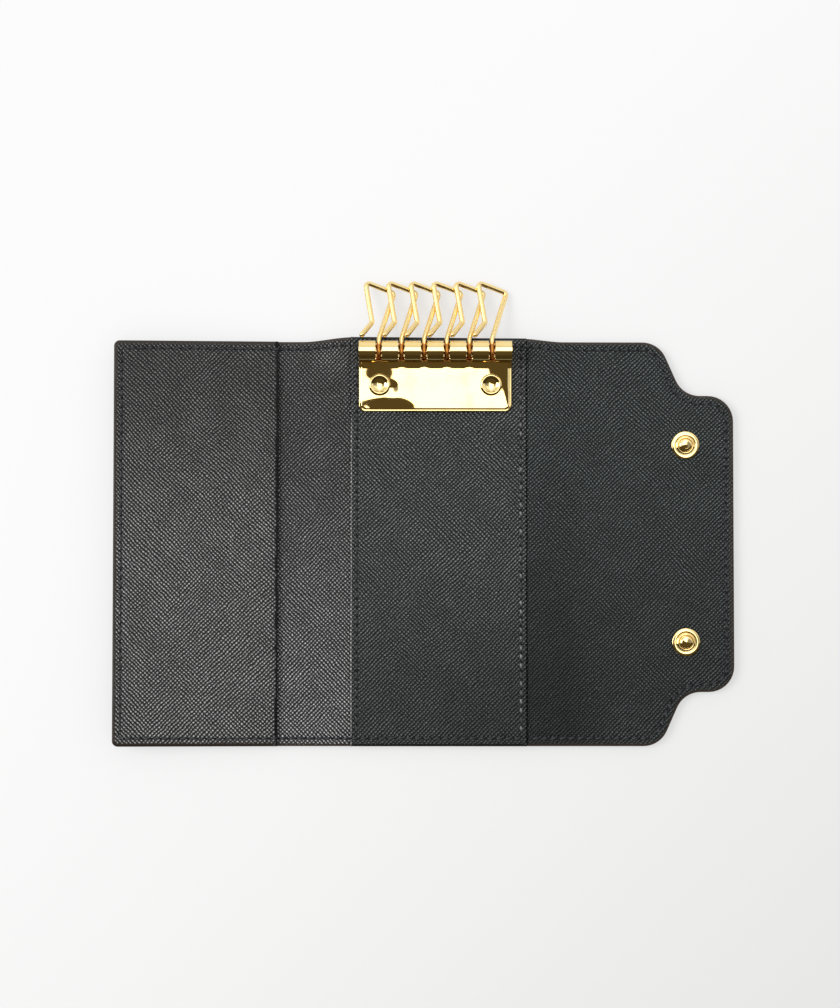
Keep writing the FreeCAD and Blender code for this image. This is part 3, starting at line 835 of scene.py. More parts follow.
@dataclass
class CasePlan:
    """The outline of the open case, its seam line, its bend at the wing and the lie of its layers."""

    left: float = -88.45
    right: float = 80.32
    half_height: float = 55.0
    shoulder: float = 60.07
    foot: float = 66.59
    tongue_half: float = 40.35
    corner: float = 1.6
    least_corner: float = 0.4
    curve: float = 7.0
    seam_inset: float = 2.15
    wing_axis: float = -41.6573
    wing_rise: float = 4.1796
    wing_bend: Pair = (-39.6, 4.2)
    patch_half: float = 23.8
    pocket_edge: float = -43.9
    drawn_out: float = 1.3
    left_swell: float = 0.75
    right_swell: float = 0.80
    pocket_lift: float = 0.45

    def draw(self, x: Array) -> Array:
        """Work out how far the top edge is drawn out over the key plate: a product of three smooth steps.

        Args:
            x: X of the places.

        Returns:
            The distance in Y.
        """
        rise = smoothstep((x + 37.0) / 13.5)
        fall = smoothstep((34.0 - x) / 12.0)
        ease = 1.0 - 0.27 * smoothstep((x + 23.0) / 46.0)
        return self.drawn_out * rise * fall * ease

    def corners(self, inset: float) -> tuple[Array, Array]:
        """Move the upper half outline inwards.

        Each corner moves along the sum of its two runs' normals over one plus their product.

        Args:
            inset: Distance inwards.

        Returns:
            Points from the middle of the left edge over the top to the middle of the right edge, and radii.
        """
        base = np.array([(self.left, 0.0), (self.left, self.half_height), (self.shoulder, self.half_height),
                         (self.foot, self.tongue_half), (self.right, self.tongue_half), (self.right, 0.0)])
        ways = unit(np.diff(base, axis=0))
        normals = np.stack([ways[:, 1], -ways[:, 0]], axis=1)
        share = 1.0 + np.sum(normals[:-1] * normals[1:], axis=1, keepdims=True)
        moved = base.copy()
        moved[1:-1] += inset * (normals[:-1] + normals[1:]) / share
        moved[0, 0] += inset
        moved[-1, 0] -= inset
        radii = np.array([max(self.corner - inset, self.least_corner), self.curve - inset,
                          self.curve + inset, self.curve - inset])
        return moved, radii

    def seam(self) -> Array:
        """Work out the seam line: the inset outline, divided finely, and its mirror image.

        Returns:
            A closed path that starts and ends at the middle of the left edge.
        """
        upper = rounded_path(*self.corners(self.seam_inset), 10)
        dense = np.linspace(0.0, 1.0, 24)[:, None]
        upper = np.concatenate([upper[k] + (upper[k + 1] - upper[k]) * dense for k in range(len(upper) - 1)])
        lower = upper[::-1] * np.array([1.0, -1.0])
        upper[:, 1] += self.draw(upper[:, 0])
        return np.concatenate([upper, lower])

    def bend(self, points: Array) -> Array:
        """Turn the wing up about its fold line by an angle that grows smoothly across the fold.

        Args:
            points: Points of the flat case.

        Returns:
            The points with the wing leaning on its sockets.
        """
        start, width = self.wing_bend
        angle = math.radians(self.wing_rise) * smoothstep((start - points[:, 0]) / width)
        across, up = points[:, 0] - self.wing_axis, points[:, 2] - FOLD_HEIGHT
        return np.stack([self.wing_axis + across * np.cos(angle) + up * np.sin(angle), points[:, 1],
                         FOLD_HEIGHT - across * np.sin(angle) + up * np.cos(angle)], axis=1)

    def unevenness(self, x: Array, y: Array) -> Array:
        """Return the slow waves of hand-worked leather, a sum of long sines, in millimetres."""
        return (0.07 * np.sin(x / 9.0 + 1.3) * np.cos(y / 17.0 + 0.4)
                + 0.05 * np.sin(x / 6.1 - y / 13.0) + 0.04 * np.sin(y / 8.3 + x / 21.0))

    def lining_relief(self, x: Array, y: Array) -> Array:
        """Work out the lining's rise above its flat top: smooth swells beside the patch, and waves.

        Args:
            x: X of the places.
            y: Y of the places.

        Returns:
            The rise.
        """
        left = self.left_swell * smoothstep((x + 47.0) / 22.6) * (x < -self.patch_half - 0.25)
        right = self.right_swell * smoothstep((39.0 - x) / 14.5) * (x > self.patch_half + 0.05)
        free = smoothstep((np.abs(x) - self.patch_half) / 4.0) * (x > self.pocket_edge - 1.0)
        return left + right + free * self.unevenness(x, y)

    def pocket_relief(self, x: Array, y: Array) -> Array:
        """Work out the pocket front's rise: its free edge stands up a little between the seams.

        Args:
            x: X of the places.
            y: Y of the places.

        Returns:
            The rise.
        """
        held = smoothstep((self.half_height - 2.5 - np.abs(y)) / 9.0)
        lift = self.pocket_lift * held * smoothstep((x + 58.0) / 12.0)
        return lift + held * self.unevenness(x, y)

    def patch_relief(self, x: Array, y: Array) -> Array:
        """Return the key patch's slight waves below the plate."""
        return smoothstep((33.0 - y) / 8.0) * (0.8 * self.unevenness(x + 4.0, y - 3.0))


@dataclass
class Sheet:
    """A leather slab over part of the plan, with rounded edges carried round its outline."""

    SIDES = ("south", "north", "west", "east")
    EDGE_ROWS = np.array([0.0, 0.35, 0.75, 1.15, 1.45, 1.65, 1.85, 2.1, 2.4, 2.9, 3.8, 5.2])
    MIDDLE_ROWS = 66
    RIM_STEPS = 9
    BEND_STEPS = 7

    plan: CasePlan
    bottom: float
    top: float
    rise: Relief = level
    under: Relief = level
    seam_depth: float = 0.16
    seam_width: float = 0.55
    round_in: float = 0.42
    reach: Pair | None = None
    step: float = 0.9
    clear: float = 0.3
    seam_below: bool = False
    # Sides whose rim is near-black instead of edge paint: painted shade on the pocket's free edge and the key
    # patch's east edge, the plain dark edge at the patch's ends.
    folds: tuple[str, ...] = ()
    # Width over which the pocket's top darkens towards its free edge, as painted shade; 0 for none.
    fade: float = 0.0
    paint: float = 1.0
    border: float = 0.5
    # Y above which the west rim loses its mark: the key patch's painted highlight ends there.
    west_end: float = FAR
    # Share of the painted shade on the key patch's east rim.
    east_mark: float = 1.0

    def columns(self) -> tuple[Array, Array, Array]:
        """Work out the columns of the slab: the outline's points, even steps and every bend's steps.

        Returns:
            X of each column, half of its height, and the outward normal at its upper end.
        """
        path = rounded_path(*self.plan.corners(0.0), 9)[1:-1]
        if self.reach is not None:
            low, high = self.reach
            inside = (path[:, 0] > low + 1e-6) & (path[:, 0] < high - 1e-6)
            ends = np.array([low, high])
            ends = ends[(ends > path[0, 0]) & (ends < path[-1, 0])]
            heights = np.interp(ends, path[:, 0], path[:, 1])
            path = np.concatenate([path[inside], np.stack([ends, heights], axis=1)])
            path = path[np.argsort(path[:, 0], kind="stable")]
        marks = np.arange(math.ceil(path[0, 0]), path[-1, 0], self.step)
        bends = np.concatenate([np.linspace(*zone.bend, self.BEND_STEPS) for zone in Zone])
        bounds = np.concatenate([[bound for zone in Zone for bound in zone.reach], bends])
        taken = np.concatenate([bounds, path[:, 0]])
        marks = marks[np.min(np.abs(marks[:, None] - taken[None, :]), axis=1) > self.clear]
        fixed = np.unique(bounds[(bounds > path[0, 0] + 0.05) & (bounds < path[-1, 0] - 0.05)])
        extra = np.concatenate([marks, fixed])
        extra = np.stack([extra, np.interp(extra, path[:, 0], path[:, 1])], axis=1)
        every = np.concatenate([path, extra])
        every = every[np.argsort(every[:, 0], kind="stable")]
        below = np.array([[0.0, 1.0]])
        chain = np.concatenate([every[:1] - below, every, every[-1:] - below])
        way = chain[2:] - chain[:-2]
        normal = unit(np.stack([-way[:, 1], way[:, 0]], axis=1))
        normal[0], normal[-1] = (-1.0, 0.0), (1.0, 0.0)
        return every[:, 0], every[:, 1], normal

    def seam_dip(self, x: Array, y: Array) -> Array:
        """Work out the dip of the stitched line: a narrow bell of the distance from the seam path.

        Args:
            x: X of the places.
            y: Y of the places.

        Returns:
            The share of the seam's depth.
        """
        path = resampled(self.plan.seam(), 0.45)[0]
        flat = np.stack([x.ravel(), y.ravel()], axis=1)
        near = np.full(len(flat), 9.0)
        edge = np.abs(flat[:, 1]) > self.plan.tongue_half - 12.0
        edge |= (flat[:, 0] < self.plan.left + 5.0) | (flat[:, 0] > self.plan.shoulder - 8.0)
        chosen = np.flatnonzero(edge)
        for part in np.array_split(chosen, max(len(chosen) // 2000, 1)):
            gap = flat[part, None, :] - path[None, :, :]
            near[part] = np.sqrt(np.min(np.sum(gap * gap, axis=2), axis=1))
        return bump(near, 0.0, self.seam_width).reshape(x.shape)

    def surfaces(self) -> dict[str, Any]:
        """Work out the slab's faces as grids over columns and rows; a rim is a flattened half circle.

        Returns:
            The upper and lower grids, the four rims, and X of each column.
        """
        column_x, half, normal = self.columns()
        inset = self.round_in
        high = half + self.plan.draw(column_x) - normal[:, 1] * inset
        low = -half + normal[:, 1] * inset
        near = self.EDGE_ROWS
        middle = np.linspace(0.0, 1.0, self.MIDDLE_ROWS)[1:-1]
        reach = np.minimum(1.0, (high - low) / (2.4 * near[-1]))[:, None]
        first, last = low[:, None] + near[None, :] * reach, high[:, None] - near[None, ::-1] * reach
        between = first[:, -1:] + (last[:, :1] - first[:, -1:]) * middle[None, :]
        grid_y = np.concatenate([first, between, last], axis=1)
        grid_x = np.broadcast_to((column_x - normal[:, 0] * inset)[:, None], grid_y.shape)
        dip = self.seam_depth * self.seam_dip(grid_x, grid_y)
        dip_over, dip_under = (0.0, dip) if self.seam_below else (dip, 0.0)
        upper = np.stack([grid_x, grid_y, self.top + self.rise(grid_x, grid_y) - dip_over], axis=-1)
        lower = np.stack([grid_x, grid_y, self.bottom + self.under(grid_x, grid_y) + dip_under], axis=-1)
        turn = np.linspace(QUARTER, -QUARTER, self.RIM_STEPS)
        push = inset * np.cos(turn) ** 0.8
        rows = grid_y.shape[1]
        outs = {"south": (np.s_[:, 0], np.stack([normal[:, 0], -normal[:, 1]], axis=1)),
                "north": (np.s_[:, -1], normal),
                "west": (np.s_[0, :], np.broadcast_to((-1.0, 0.0), (rows, 2))),
                "east": (np.s_[-1, :], np.broadcast_to((1.0, 0.0), (rows, 2)))}
        rims = {}
        for name, (cut, out) in outs.items():
            over, below = upper[cut], lower[cut]
            mid, tall = 0.5 * (over[:, 2] + below[:, 2]), 0.5 * (over[:, 2] - below[:, 2])
            rims[name] = np.stack([over[:, None, 0] + out[:, None, 0] * push,
                                   over[:, None, 1] + out[:, None, 1] * push,
                                   mid[:, None] + tall[:, None] * np.sin(turn)], axis=-1)
        return {"upper": upper, "lower": lower, "x": column_x, **rims}

    def top_mark(self, upper: Array, end: float) -> Array:
        """Work out the mark of the upper face: paint at its border and at the flap's end, or painted shade
        towards the pocket's free edge.

        Args:
            upper: Grid of the upper face.
            end: X of the slab's last column.

        Returns:
            The mark of each point.
        """
        x, y = upper[:, :, 0], upper[:, :, 1]
        if self.fade:
            # Painted shade darkening the pocket's top towards its free edge.
            mark = -0.8 * smoothstep((x - end + self.fade) / self.fade)
        else:
            mark = 0.75 * smoothstep((x - self.plan.right + self.paint + 0.15) / 0.3)
        near = np.minimum(np.minimum(y - y[:, :1], y[:, -1:] - y), x - self.plan.left - self.round_in)
        band = np.clip(1.0 - near / self.border, 0.0, 1.0)
        return np.where(band > np.abs(mark), band * self.sign("south"), mark)

    def sign(self, side: str) -> float:
        """Return minus 1 for a near-black side, painted shade or plain dark edge, 1 for one with edge paint."""
        return -1.0 if side in self.folds else 1.0

    def cut(self, low: float, high: float, parts: dict[str, Any]) -> Surface:
        """Take the columns between two X as one closed surface.

        Args:
            low: Lowest X.
            high: Highest X.
            parts: The slab's grids.

        Returns:
            The joined surface, its rims marked as painted edges, or near-black on the dark sides.
        """
        x = parts["x"]
        keep = np.flatnonzero((x > low - 1e-4) & (x < high + 1e-4))
        take = slice(keep[0], keep[-1] + 1)
        upper = parts["upper"][take]
        pieces = [Surface.grid(upper, mark=self.top_mark(upper, x[-1])),
                  Surface.grid(parts["lower"][take], turn=True)]
        ease = smoothstep(np.linspace(1.0, 0.0, self.RIM_STEPS) * 5.0)
        ramp = smoothstep(np.linspace(0.0, 1.0, self.RIM_STEPS) * 5.0) * ease
        bordered = self.SIDES[:2 if self.reach and self.reach[0] > self.plan.left else 3]
        marks = {name: self.sign(name) * (ease if name in bordered else ramp)[None, :] for name in self.SIDES}
        marks["west"] = marks["west"] * smoothstep((self.west_end - parts["west"][:, :1, 1]) / 7.0)
        # The pocket's free edge rim is painted shade in full, the key patch's east rim a weak painted shade.
        marks["east"] = np.full_like(ramp, -1.0)[None, :] if self.fade else marks["east"] * self.east_mark
        for name, turned in (("south", True), ("north", False)):
            pieces.append(Surface.grid(parts[name][take], mark=marks[name], turn=turned))
        if keep[0] == 0:
            pieces.append(Surface.grid(parts["west"], mark=marks["west"]))
        if keep[-1] == len(x) - 1:
            pieces.append(Surface.grid(parts["east"], mark=marks["east"], turn=True))
        return Surface.joined(pieces)

    def whole(self) -> Surface:
        """Return the slab as one closed surface."""
        return self.cut(-FAR, FAR, self.surfaces())


@dataclass
class Leatherwork:
    """Shell, lining, pocket front and key patch of the case."""

    plan: CasePlan
    shell_top: float = 0.98
    lining_bottom: float = 1.02
    lining_top: float = 2.2
    pocket_top: float = 3.0
    patch_top: float = 3.3
    glue: float = 0.02
    patch_lap: float = 0.2
    row_inset: float = 1.5

    def build_sheets(self) -> None:
        """Build shell and lining, each cut into the bending zones."""
        shell = Sheet(self.plan, 0.0, self.shell_top, seam_below=True, seam_depth=0.2)
        lining = Sheet(self.plan, self.lining_bottom, self.lining_top, rise=self.plan.lining_relief)
        for layer, sheet, finish in (("shell", shell, Finish.SHELL), ("lining", lining, Finish.LINING)):
            parts = sheet.surfaces()
            for zone in Zone:
                surface = sheet.cut(*zone.reach, parts).bent(self.plan.bend)
                piece = surface.build(f"{layer}_{zone.name.lower()}", finish.material())
                zone.follow(enter(piece, zone.nodes(layer)))

    def build_pocket(self) -> None:
        """Build the pocket front, which lies on the wing and is open towards the fold."""
        relief = self.plan.pocket_relief
        # The pocket's free edge and the top just before it are painted shade.
        sheet = Sheet(self.plan, self.lining_top + self.glue, self.pocket_top, rise=relief,
                      under=lambda x, y: 0.95 * relief(x, y), round_in=0.7,
                      reach=(self.plan.left, self.plan.pocket_edge), folds=("east",), fade=1.2)
        piece = sheet.whole().bent(self.plan.bend).build("pocket_front_leather", Finish.POCKET.material())
        enter(piece, ["pocket_front"], "wing")

    def build_patch(self) -> None:
        """Build the key patch between its two stitched long edges."""
        half = self.plan.patch_half
        # The west edge takes the panel finish's painted highlight up to Y 37, the east edge a weak painted
        # shade; the ends are plain dark.
        sheet = Sheet(self.plan, self.lining_top + self.glue, self.patch_top, rise=self.patch_rise,
                      round_in=0.4, reach=(-half - self.patch_lap, half), step=0.6,
                      folds=("east", "south", "north"), west_end=37.0, east_mark=0.12)
        piece = sheet.whole().build("key_patch_leather", Finish.PANEL.material())
        enter(piece, ["key_panel"], "back")

    def patch_rise(self, x: Array, y: Array) -> Array:
        """Return the patch's relief with the dip of its two stitched rows."""
        rows = bump(np.abs(x), self.plan.patch_half - self.row_inset, 0.5)
        return self.plan.patch_relief(x, y) - 0.14 * rows

    def build(self) -> None:
        """Build every leather piece."""
        self.build_sheets()
        self.build_pocket()
        self.build_patch()


@dataclass
class Sewing:
    """The stitches: short slanted lozenges of thread, each diving into a needle hole."""

    plan: CasePlan
    leather: Leatherwork
    pitch: float = 2.45
    length: float = 2.0
    width: float = 0.6
    proud: float = 0.18
    slant: float = 9.0
    hole: float = 0.3
    hole_dome: float = 0.035
    sink: float = 0.07
    outer_sink: float = 0.2
    row_ends: Pair = (-51.6, 52.6)

    def stitches(self, marks: Array, ways: Array, heights: Array, up: float = 1.0) -> Surface:
        """Lay one lozenge and one hole on every mark.

        A lozenge is a grid over length u and width v: its width follows the square root of one minus u to
        the fourth, and its height the product of two such arches. The hole is a flat dark disc, painted shade
        of the needle hole.

        Args:
            marks: Middle of each stitch.
            ways: Way of the seam at each.
            heights: Height of the leather at each.
            up: 1 on the inside of the case, minus 1 on its outer face.

        Returns:
            All stitches as one surface.
        """
        angle = math.radians(self.slant)
        turned = np.stack([ways[:, 0] * math.cos(angle) - ways[:, 1] * math.sin(angle),
                           ways[:, 0] * math.sin(angle) + ways[:, 1] * math.cos(angle)], axis=1)
        u, v = np.meshgrid(np.linspace(-1.0, 1.0, 9), np.linspace(-1.0, 1.0, 6), indexing="ij")
        wide = np.sqrt(np.clip(1.0 - u ** 4, 0.0, 1.0))
        lift = self.proud * np.sqrt(np.clip(1.0 - v * v, 0.0, 1.0)) * (1.25 * wide - 0.25)
        thread = np.stack([u * self.length / 2.0, v * wide * self.width / 2.0, lift])
        ring, turn = np.meshgrid(np.linspace(0.02, 1.0, 3), np.linspace(0.0, ROUND, 10), indexing="ij")
        holes = np.stack([self.pitch / 2.0 + 1.25 * self.hole * ring * np.cos(turn),
                          self.hole * ring * np.sin(turn), self.hole_dome * (1.0 - ring ** 2)])
        return Surface.joined([self.laid(marks, heights, turned, thread, 0.0, up),
                               self.laid(marks, heights, ways, holes, 1.0, up)])

    @staticmethod
    def laid(marks: Array, heights: Array, ways: Array, small: Array, mark: float, up: float) -> Surface:
        """Copy one small grid to every mark, turned along the seam.

        Args:
            marks: Middle of each copy.
            heights: Height of each copy.
            ways: Lengthwise direction of each.
            small: Lengthwise place, crosswise place and height of the grid's points.
            mark: Mask value of the copies.
            up: 1 or minus 1, the side that the lift goes to.

        Returns:
            The copies as one surface.
        """
        along, across, lift = small
        sides = np.stack([-ways[:, 1], ways[:, 0]], axis=1)
        plan = (marks[:, None, None, :] + ways[:, None, None, :] * along[None, :, :, None]
                + sides[:, None, None, :] * across[None, :, :, None])
        tall = heights[:, None, None] + up * lift[None]
        points = np.concatenate([plan, tall[..., None]], axis=-1)
        count, rows, cols = points.shape[:3]
        faces = Surface.grid(points[0]).faces[None] + (np.arange(count) * rows * cols)[:, None, None]
        faces = faces.reshape(-1, 4)
        flat = np.broadcast_to(np.stack([along, across], axis=-1)[None], (count, rows, cols, 2))
        return Surface(points.reshape(-1, 3), faces if up > 0 else faces[:, ::-1], flat.reshape(-1, 2),
                       np.full(count * rows * cols, mark))

    def height(self, marks: Array) -> Array:
        """Work out the height of the topmost leather under each mark, in the flat case.

        Args:
            marks: X and Y of the marks.

        Returns:
            The heights.
        """
        x, y = marks[:, 0], marks[:, 1]
        lining = self.leather.lining_top + self.plan.lining_relief(x, y)
        pocket = self.leather.pocket_top + self.plan.pocket_relief(x, y)
        patch = self.leather.patch_top + self.plan.patch_relief(x, y)
        top = np.where(x < self.plan.pocket_edge, pocket, lining)
        return np.where(np.abs(x) < self.plan.patch_half, patch, top)

    def build(self) -> None:
        """Sew the perimeter on both faces, zone by zone, and the two rows of the key patch."""
        marks, ways = resampled(self.plan.seam(), self.pitch)
        for zone in Zone:
            low, high = zone.reach
            chosen = (marks[:, 0] >= low) & (marks[:, 0] < high)
            mark, way = marks[chosen], ways[chosen]
            inside = self.stitches(mark, way, self.height(mark) - self.sink)
            outside = self.stitches(mark, way, np.full(len(mark), self.outer_sink), up=-1.0)
            surface = Surface.joined([inside, outside]).bent(self.plan.bend)
            zone.follow(self.thread(surface, f"seam_{zone.name.lower()}", Finish.THREAD))
        for side, sign, finish in (("left", -1.0, Finish.THREAD), ("right", 1.0, Finish.ROW)):
            x = sign * (self.plan.patch_half - self.leather.row_inset)
            row, way = resampled(np.array([(x, y) for y in self.row_ends]), self.pitch)
            surface = self.stitches(row, way, self.height(row) - self.sink)
            self.thread(surface, f"key_patch_row_{side}", finish, "back")

    @staticmethod
    def thread(surface: Surface, name: str, finish: Finish, body: str = "") -> Piece:
        """Make and enter a piece of thread, which stands for no solid."""
        return enter(surface.build(name, finish.material(), crease=80.0), body=body)


# ------------------------------------------------------------------------------------ hardware


@dataclass
class KeyPlate:
    """The polished plate with its curled, slotted barrel, and its two rivets."""

    SIDE_STEPS = np.array([0.02, 0.06, 0.12, 0.2, 0.4, 0.6, 0.65, 0.7, 0.75, 0.8, 1.0])
    FRONT_STEPS = np.array([0.0, 0.02, 0.06, 0.12, 0.2, 0.3, 0.4, 0.5, 0.6, 0.65, 0.7, 0.75, 0.8, 1.0,
                            1.2, 1.4])
    SLOTS = 6
    RIVETS = ((-16.15, 43.1), (14.15, 43.1))

    left: float = -21.75
    right: float = 19.75
    front: float = 35.8
    base: float = 3.3
    thick: float = 0.9
    axis_y: float = 51.9
    axis_z: float = 6.3
    outer: float = 3.0
    bore: float = 2.3
    corner: float = 1.85
    pull_width: float = 3.0
    border: float = 0.8
    border_step: float = 0.07
    arris: float = 0.2
    slot: float = 1.8
    slot_from: float = -34.4
    slot_to: float = 191.5
    lip: float = 216.0
    first_slot: float = -16.375
    slot_pitch: float = 6.15
    bevel: float = 0.12
    rivet_sink: float = 0.12

    @property
    def centres(self) -> Array:
        """Return X of the slots."""
        return self.first_slot + self.slot_pitch * np.arange(self.SLOTS)

    def wave(self, x: Array, y: Array) -> Array:
        """Work out the pressed plate's unevenness: bells round the rivets, smooth steps and slow sines.

        Args:
            x: X of the places.
            y: Y of the places.

        Returns:
            The rise in millimetres.
        """
        share = np.clip((y - self.front) / 13.0, 0.0, None)
        rx, ry = self.RIVETS[0]
        dent = -0.20 * np.exp(-((x - rx + 0.21) ** 2 + np.where(y > ry, 1.0, 0.1) * (y - ry) ** 2) / 24.7)
        dimple = -0.126 * np.exp(-((x + 12.71) ** 2 + (y - 42.15) ** 2) / 1.47)
        inside = np.maximum(y, self.front + self.border)
        droop = -0.21 * bump(inside, self.front - 0.92, 3.23) * bump(x, -13.3, np.where(x < -13.3, 8.1, 5.7))
        side = 0.27 * smoothstep((x - 10.5) / 6.07) * share ** 2.43
        tail = smoothstep((x - 17.4 - 0.1 * (46.0 - y)) / 1.0)
        side += 0.022 * tail * np.minimum(inside - self.front, 5.5)
        slow = 0.003 * np.sin(x / 4.1 + 0.6) * np.sin(y / 3.3) + 0.002 * np.sin(x / 2.6 - y / 4.2)
        return dent + dimple + droop + side + slow

    def ledge(self, x: Array, y: Array) -> Array:
        """Return the rise of the plate to the barrel: a straight slope that starts later below each slot."""
        lobes = sum(bump(x, centre, 1.1) for centre in self.centres)
        return 0.17 * np.clip(y - 47.75 - 0.45 * lobes, 0.0, 2.4) * (1.0 - smoothstep((y - 50.2) / 1.5))

    def edge_drop(self, x: Array, y: Array) -> Array:
        """Work out how far the top falls at the border: a shallow step to a level rim, and a round arris.

        The arris is a quarter circle of the distance to the edge, which is measured to an arc at the corners.

        Args:
            x: X of the places.
            y: Y of the places.

        Returns:
            The fall.
        """
        aside, ahead = np.minimum(x - self.left, self.right - x), y - self.front
        turned = np.hypot(np.clip(self.corner - aside, 0.0, None), np.clip(self.corner - ahead, 0.0, None))
        cornered = (aside < self.corner) & (ahead < self.corner)
        gap = np.where(cornered, self.corner - turned, np.minimum(aside, ahead))
        inward = np.clip(self.arris - gap, 0.0, self.arris)
        step = self.border_step * (1.0 - smoothstep((gap - self.border + 0.2) / 0.2))
        return step + self.arris - np.sqrt(np.clip(self.arris ** 2 - inward ** 2, 0.0, None))

    def columns(self) -> tuple[Array, Array]:
        """Divide the plate's width at the slots, evenly between them and closely at the edges.

        Returns:
            X of the plate's columns, and whether each gap between columns is a slot.
        """
        cuts = np.sort(np.concatenate([self.centres - self.slot / 2, self.centres + self.slot / 2]))
        bounds = np.concatenate([[self.left], cuts, [self.right]])
        counts = np.maximum(np.ceil(np.diff(bounds) / 0.36).astype(int), 2)
        runs = [np.linspace(a, b, n, endpoint=False) for a, b, n in zip(bounds[:-1], bounds[1:], counts)]
        x = np.concatenate([*runs, [self.right]])
        x = np.concatenate([x[:1], self.left + self.SIDE_STEPS, x[3:-3], self.right - self.SIDE_STEPS[::-1],
                            x[-1:]])
        middle = 0.5 * (x[1:] + x[:-1])
        return x, np.any(np.abs(middle[:, None] - self.centres[None, :]) < self.slot / 2, axis=1)

    def surface(self) -> Surface:
        """Work out the plate as a curled slab: outer and inner walls over distance and width, slots left out.

        The slab runs flat to below the barrel's axis, then round it at constant radius from the bottom
        over the far side and the top to the lip. A wall closes every border between metal and gap.

        Returns:
            The surface.
        """
        x, slotted = self.columns()
        flat_y = np.concatenate([self.front + self.FRONT_STEPS, np.linspace(self.front + 1.8, self.axis_y, 56)])
        turn = np.concatenate([np.arange(-84.0, self.slot_from - 3.0, 6.0),
                               np.linspace(self.slot_from, self.slot_to, 40),
                               np.linspace(self.slot_to + 6.0, self.lip, 4)])
        angle = np.radians(turn)[:, None]
        wide = np.ones_like(x)[None, :]
        row_y = flat_y[:, None] * wide
        drop = np.clip(self.corner - (flat_y - self.front), 0.0, self.corner)
        pull = (self.corner - np.sqrt(np.clip(self.corner ** 2 - drop ** 2, 0.0, None)))[:, None]
        inner_left, inner_right = self.left + self.pull_width, self.right - self.pull_width
        row_x = x[None, :] + pull * (np.clip((inner_left - x) / self.pull_width, 0.0, 1.0)
                                     - np.clip((x - inner_right) / self.pull_width, 0.0, 1.0))[None, :]
        thin = smoothstep((row_y - self.axis_y + 3.4) / 3.4)
        fade = 1.0 - smoothstep((row_y - self.axis_y + 3.5) / 3.5)
        top_z = self.base + self.thick + (self.outer - self.bore - self.thick) * thin
        top_z = top_z + fade * self.wave(row_x, row_y) - fade * self.edge_drop(row_x, row_y)
        top_z = top_z + self.ledge(row_x, row_y)
        walls = []
        for flat_z, radius in ((self.base + 0.0 * row_y, self.outer), (top_z, self.bore)):
            curl = np.stack([x[None, :] + 0.0 * angle, self.axis_y + radius * np.cos(angle) * wide,
                             self.axis_z + radius * np.sin(angle) * wide], axis=-1)
            walls.append(np.concatenate([np.stack([row_x, row_y, flat_z], axis=-1), curl]))
        turns = np.concatenate([np.full(len(flat_y), -FAR), turn])
        middle = 0.5 * (turns[1:] + turns[:-1])
        open_row = (middle > self.slot_from) & (middle < self.slot_to)
        # The curl's inner wall takes the painted shade inside the barrel.
        dark = (turns > -FAR)[:, None] * wide
        return self.slab(*walls, ~(open_row[:, None] & slotted[None, :]), dark)

    @staticmethod
    def slab(outer: Array, inner: Array, solid: Array, dark: Array) -> Surface:
        """Close a masked slab: both walls where it is solid, and a side where solid meets gap.

        Args:
            outer: Grid of the outer wall.
            inner: Grid of the inner wall, point for point.
            solid: Mask of the cells.
            dark: Mark of the inner wall's points, which take the painted shade inside the barrel.

        Returns:
            The closed surface.
        """
        rows, cols = outer.shape[:2]
        shift = rows * cols
        index = np.arange(shift).reshape(rows, cols)
        quads = cells(index)[solid]
        faces = [quads, quads[:, ::-1] + shift]
        padded = np.pad(solid, 1)
        for before, after, down, right in ((padded[:-1, 1:-1], padded[1:, 1:-1], 0, 1),
                                           (padded[1:-1, :-1], padded[1:-1, 1:], 1, 0)):
            row, col = np.nonzero(before != after)
            a, b = index[row, col], index[row + down, col + right]
            faces.append(np.stack([a, b, b + shift, a + shift], axis=1))
        used, renumbered = np.unique(np.concatenate(faces), return_inverse=True)
        points = np.concatenate([outer.reshape(-1, 3), inner.reshape(-1, 3)])[used]
        marks = np.concatenate([np.zeros(shift), dark.ravel()])[used]
        return Surface(points, renumbered.reshape(-1, 4), points[:, :2], marks)

    def rivet(self, centre: Pair) -> Surface:
        """Turn one rivet: a rolled rim round a dished head, on its shank.

        Args:
            centre: X and Y of the rivet.

        Returns:
            The turned surface.
        """
        rim = np.linspace(-QUARTER, 1.5 * QUARTER, 15)
        rolled = np.stack([2.45 + 0.5 * np.cos(rim), 0.5 + 0.5 * np.sin(rim)], axis=1)
        inside = np.linspace(2.05, 0.0, 22)
        dish = np.stack([inside, 0.36 + 0.46 * (inside / 2.05) ** 3], axis=1)
        profile = np.concatenate([[(0.0, -2.0), (1.2, -2.0), (1.2, 0.0)], rolled, dish])
        return lathe(profile, (*centre, self.base + self.thick - self.rivet_sink))

    def build(self) -> None:
        """Build the plate and its rivets."""
        plate = self.surface().build("key_plate_curl", Finish.GOLD.material(), crease=40.0)
        soften = plate.modifiers.new("edges", "BEVEL")
        soften.width = self.bevel * MM
        soften.segments = 2
        soften.limit_method = "ANGLE"
        soften.angle_limit = math.radians(50.0)
        soften.harden_normals = True
        enter(plate, ["key_plate"], "back")
        rivets = Surface.joined([self.rivet(centre) for centre in self.RIVETS])
        heads = rivets.build("plate_rivet_heads", Finish.GOLD.material(), crease=60.0)
        enter(heads, ["plate_rivets"], "back")


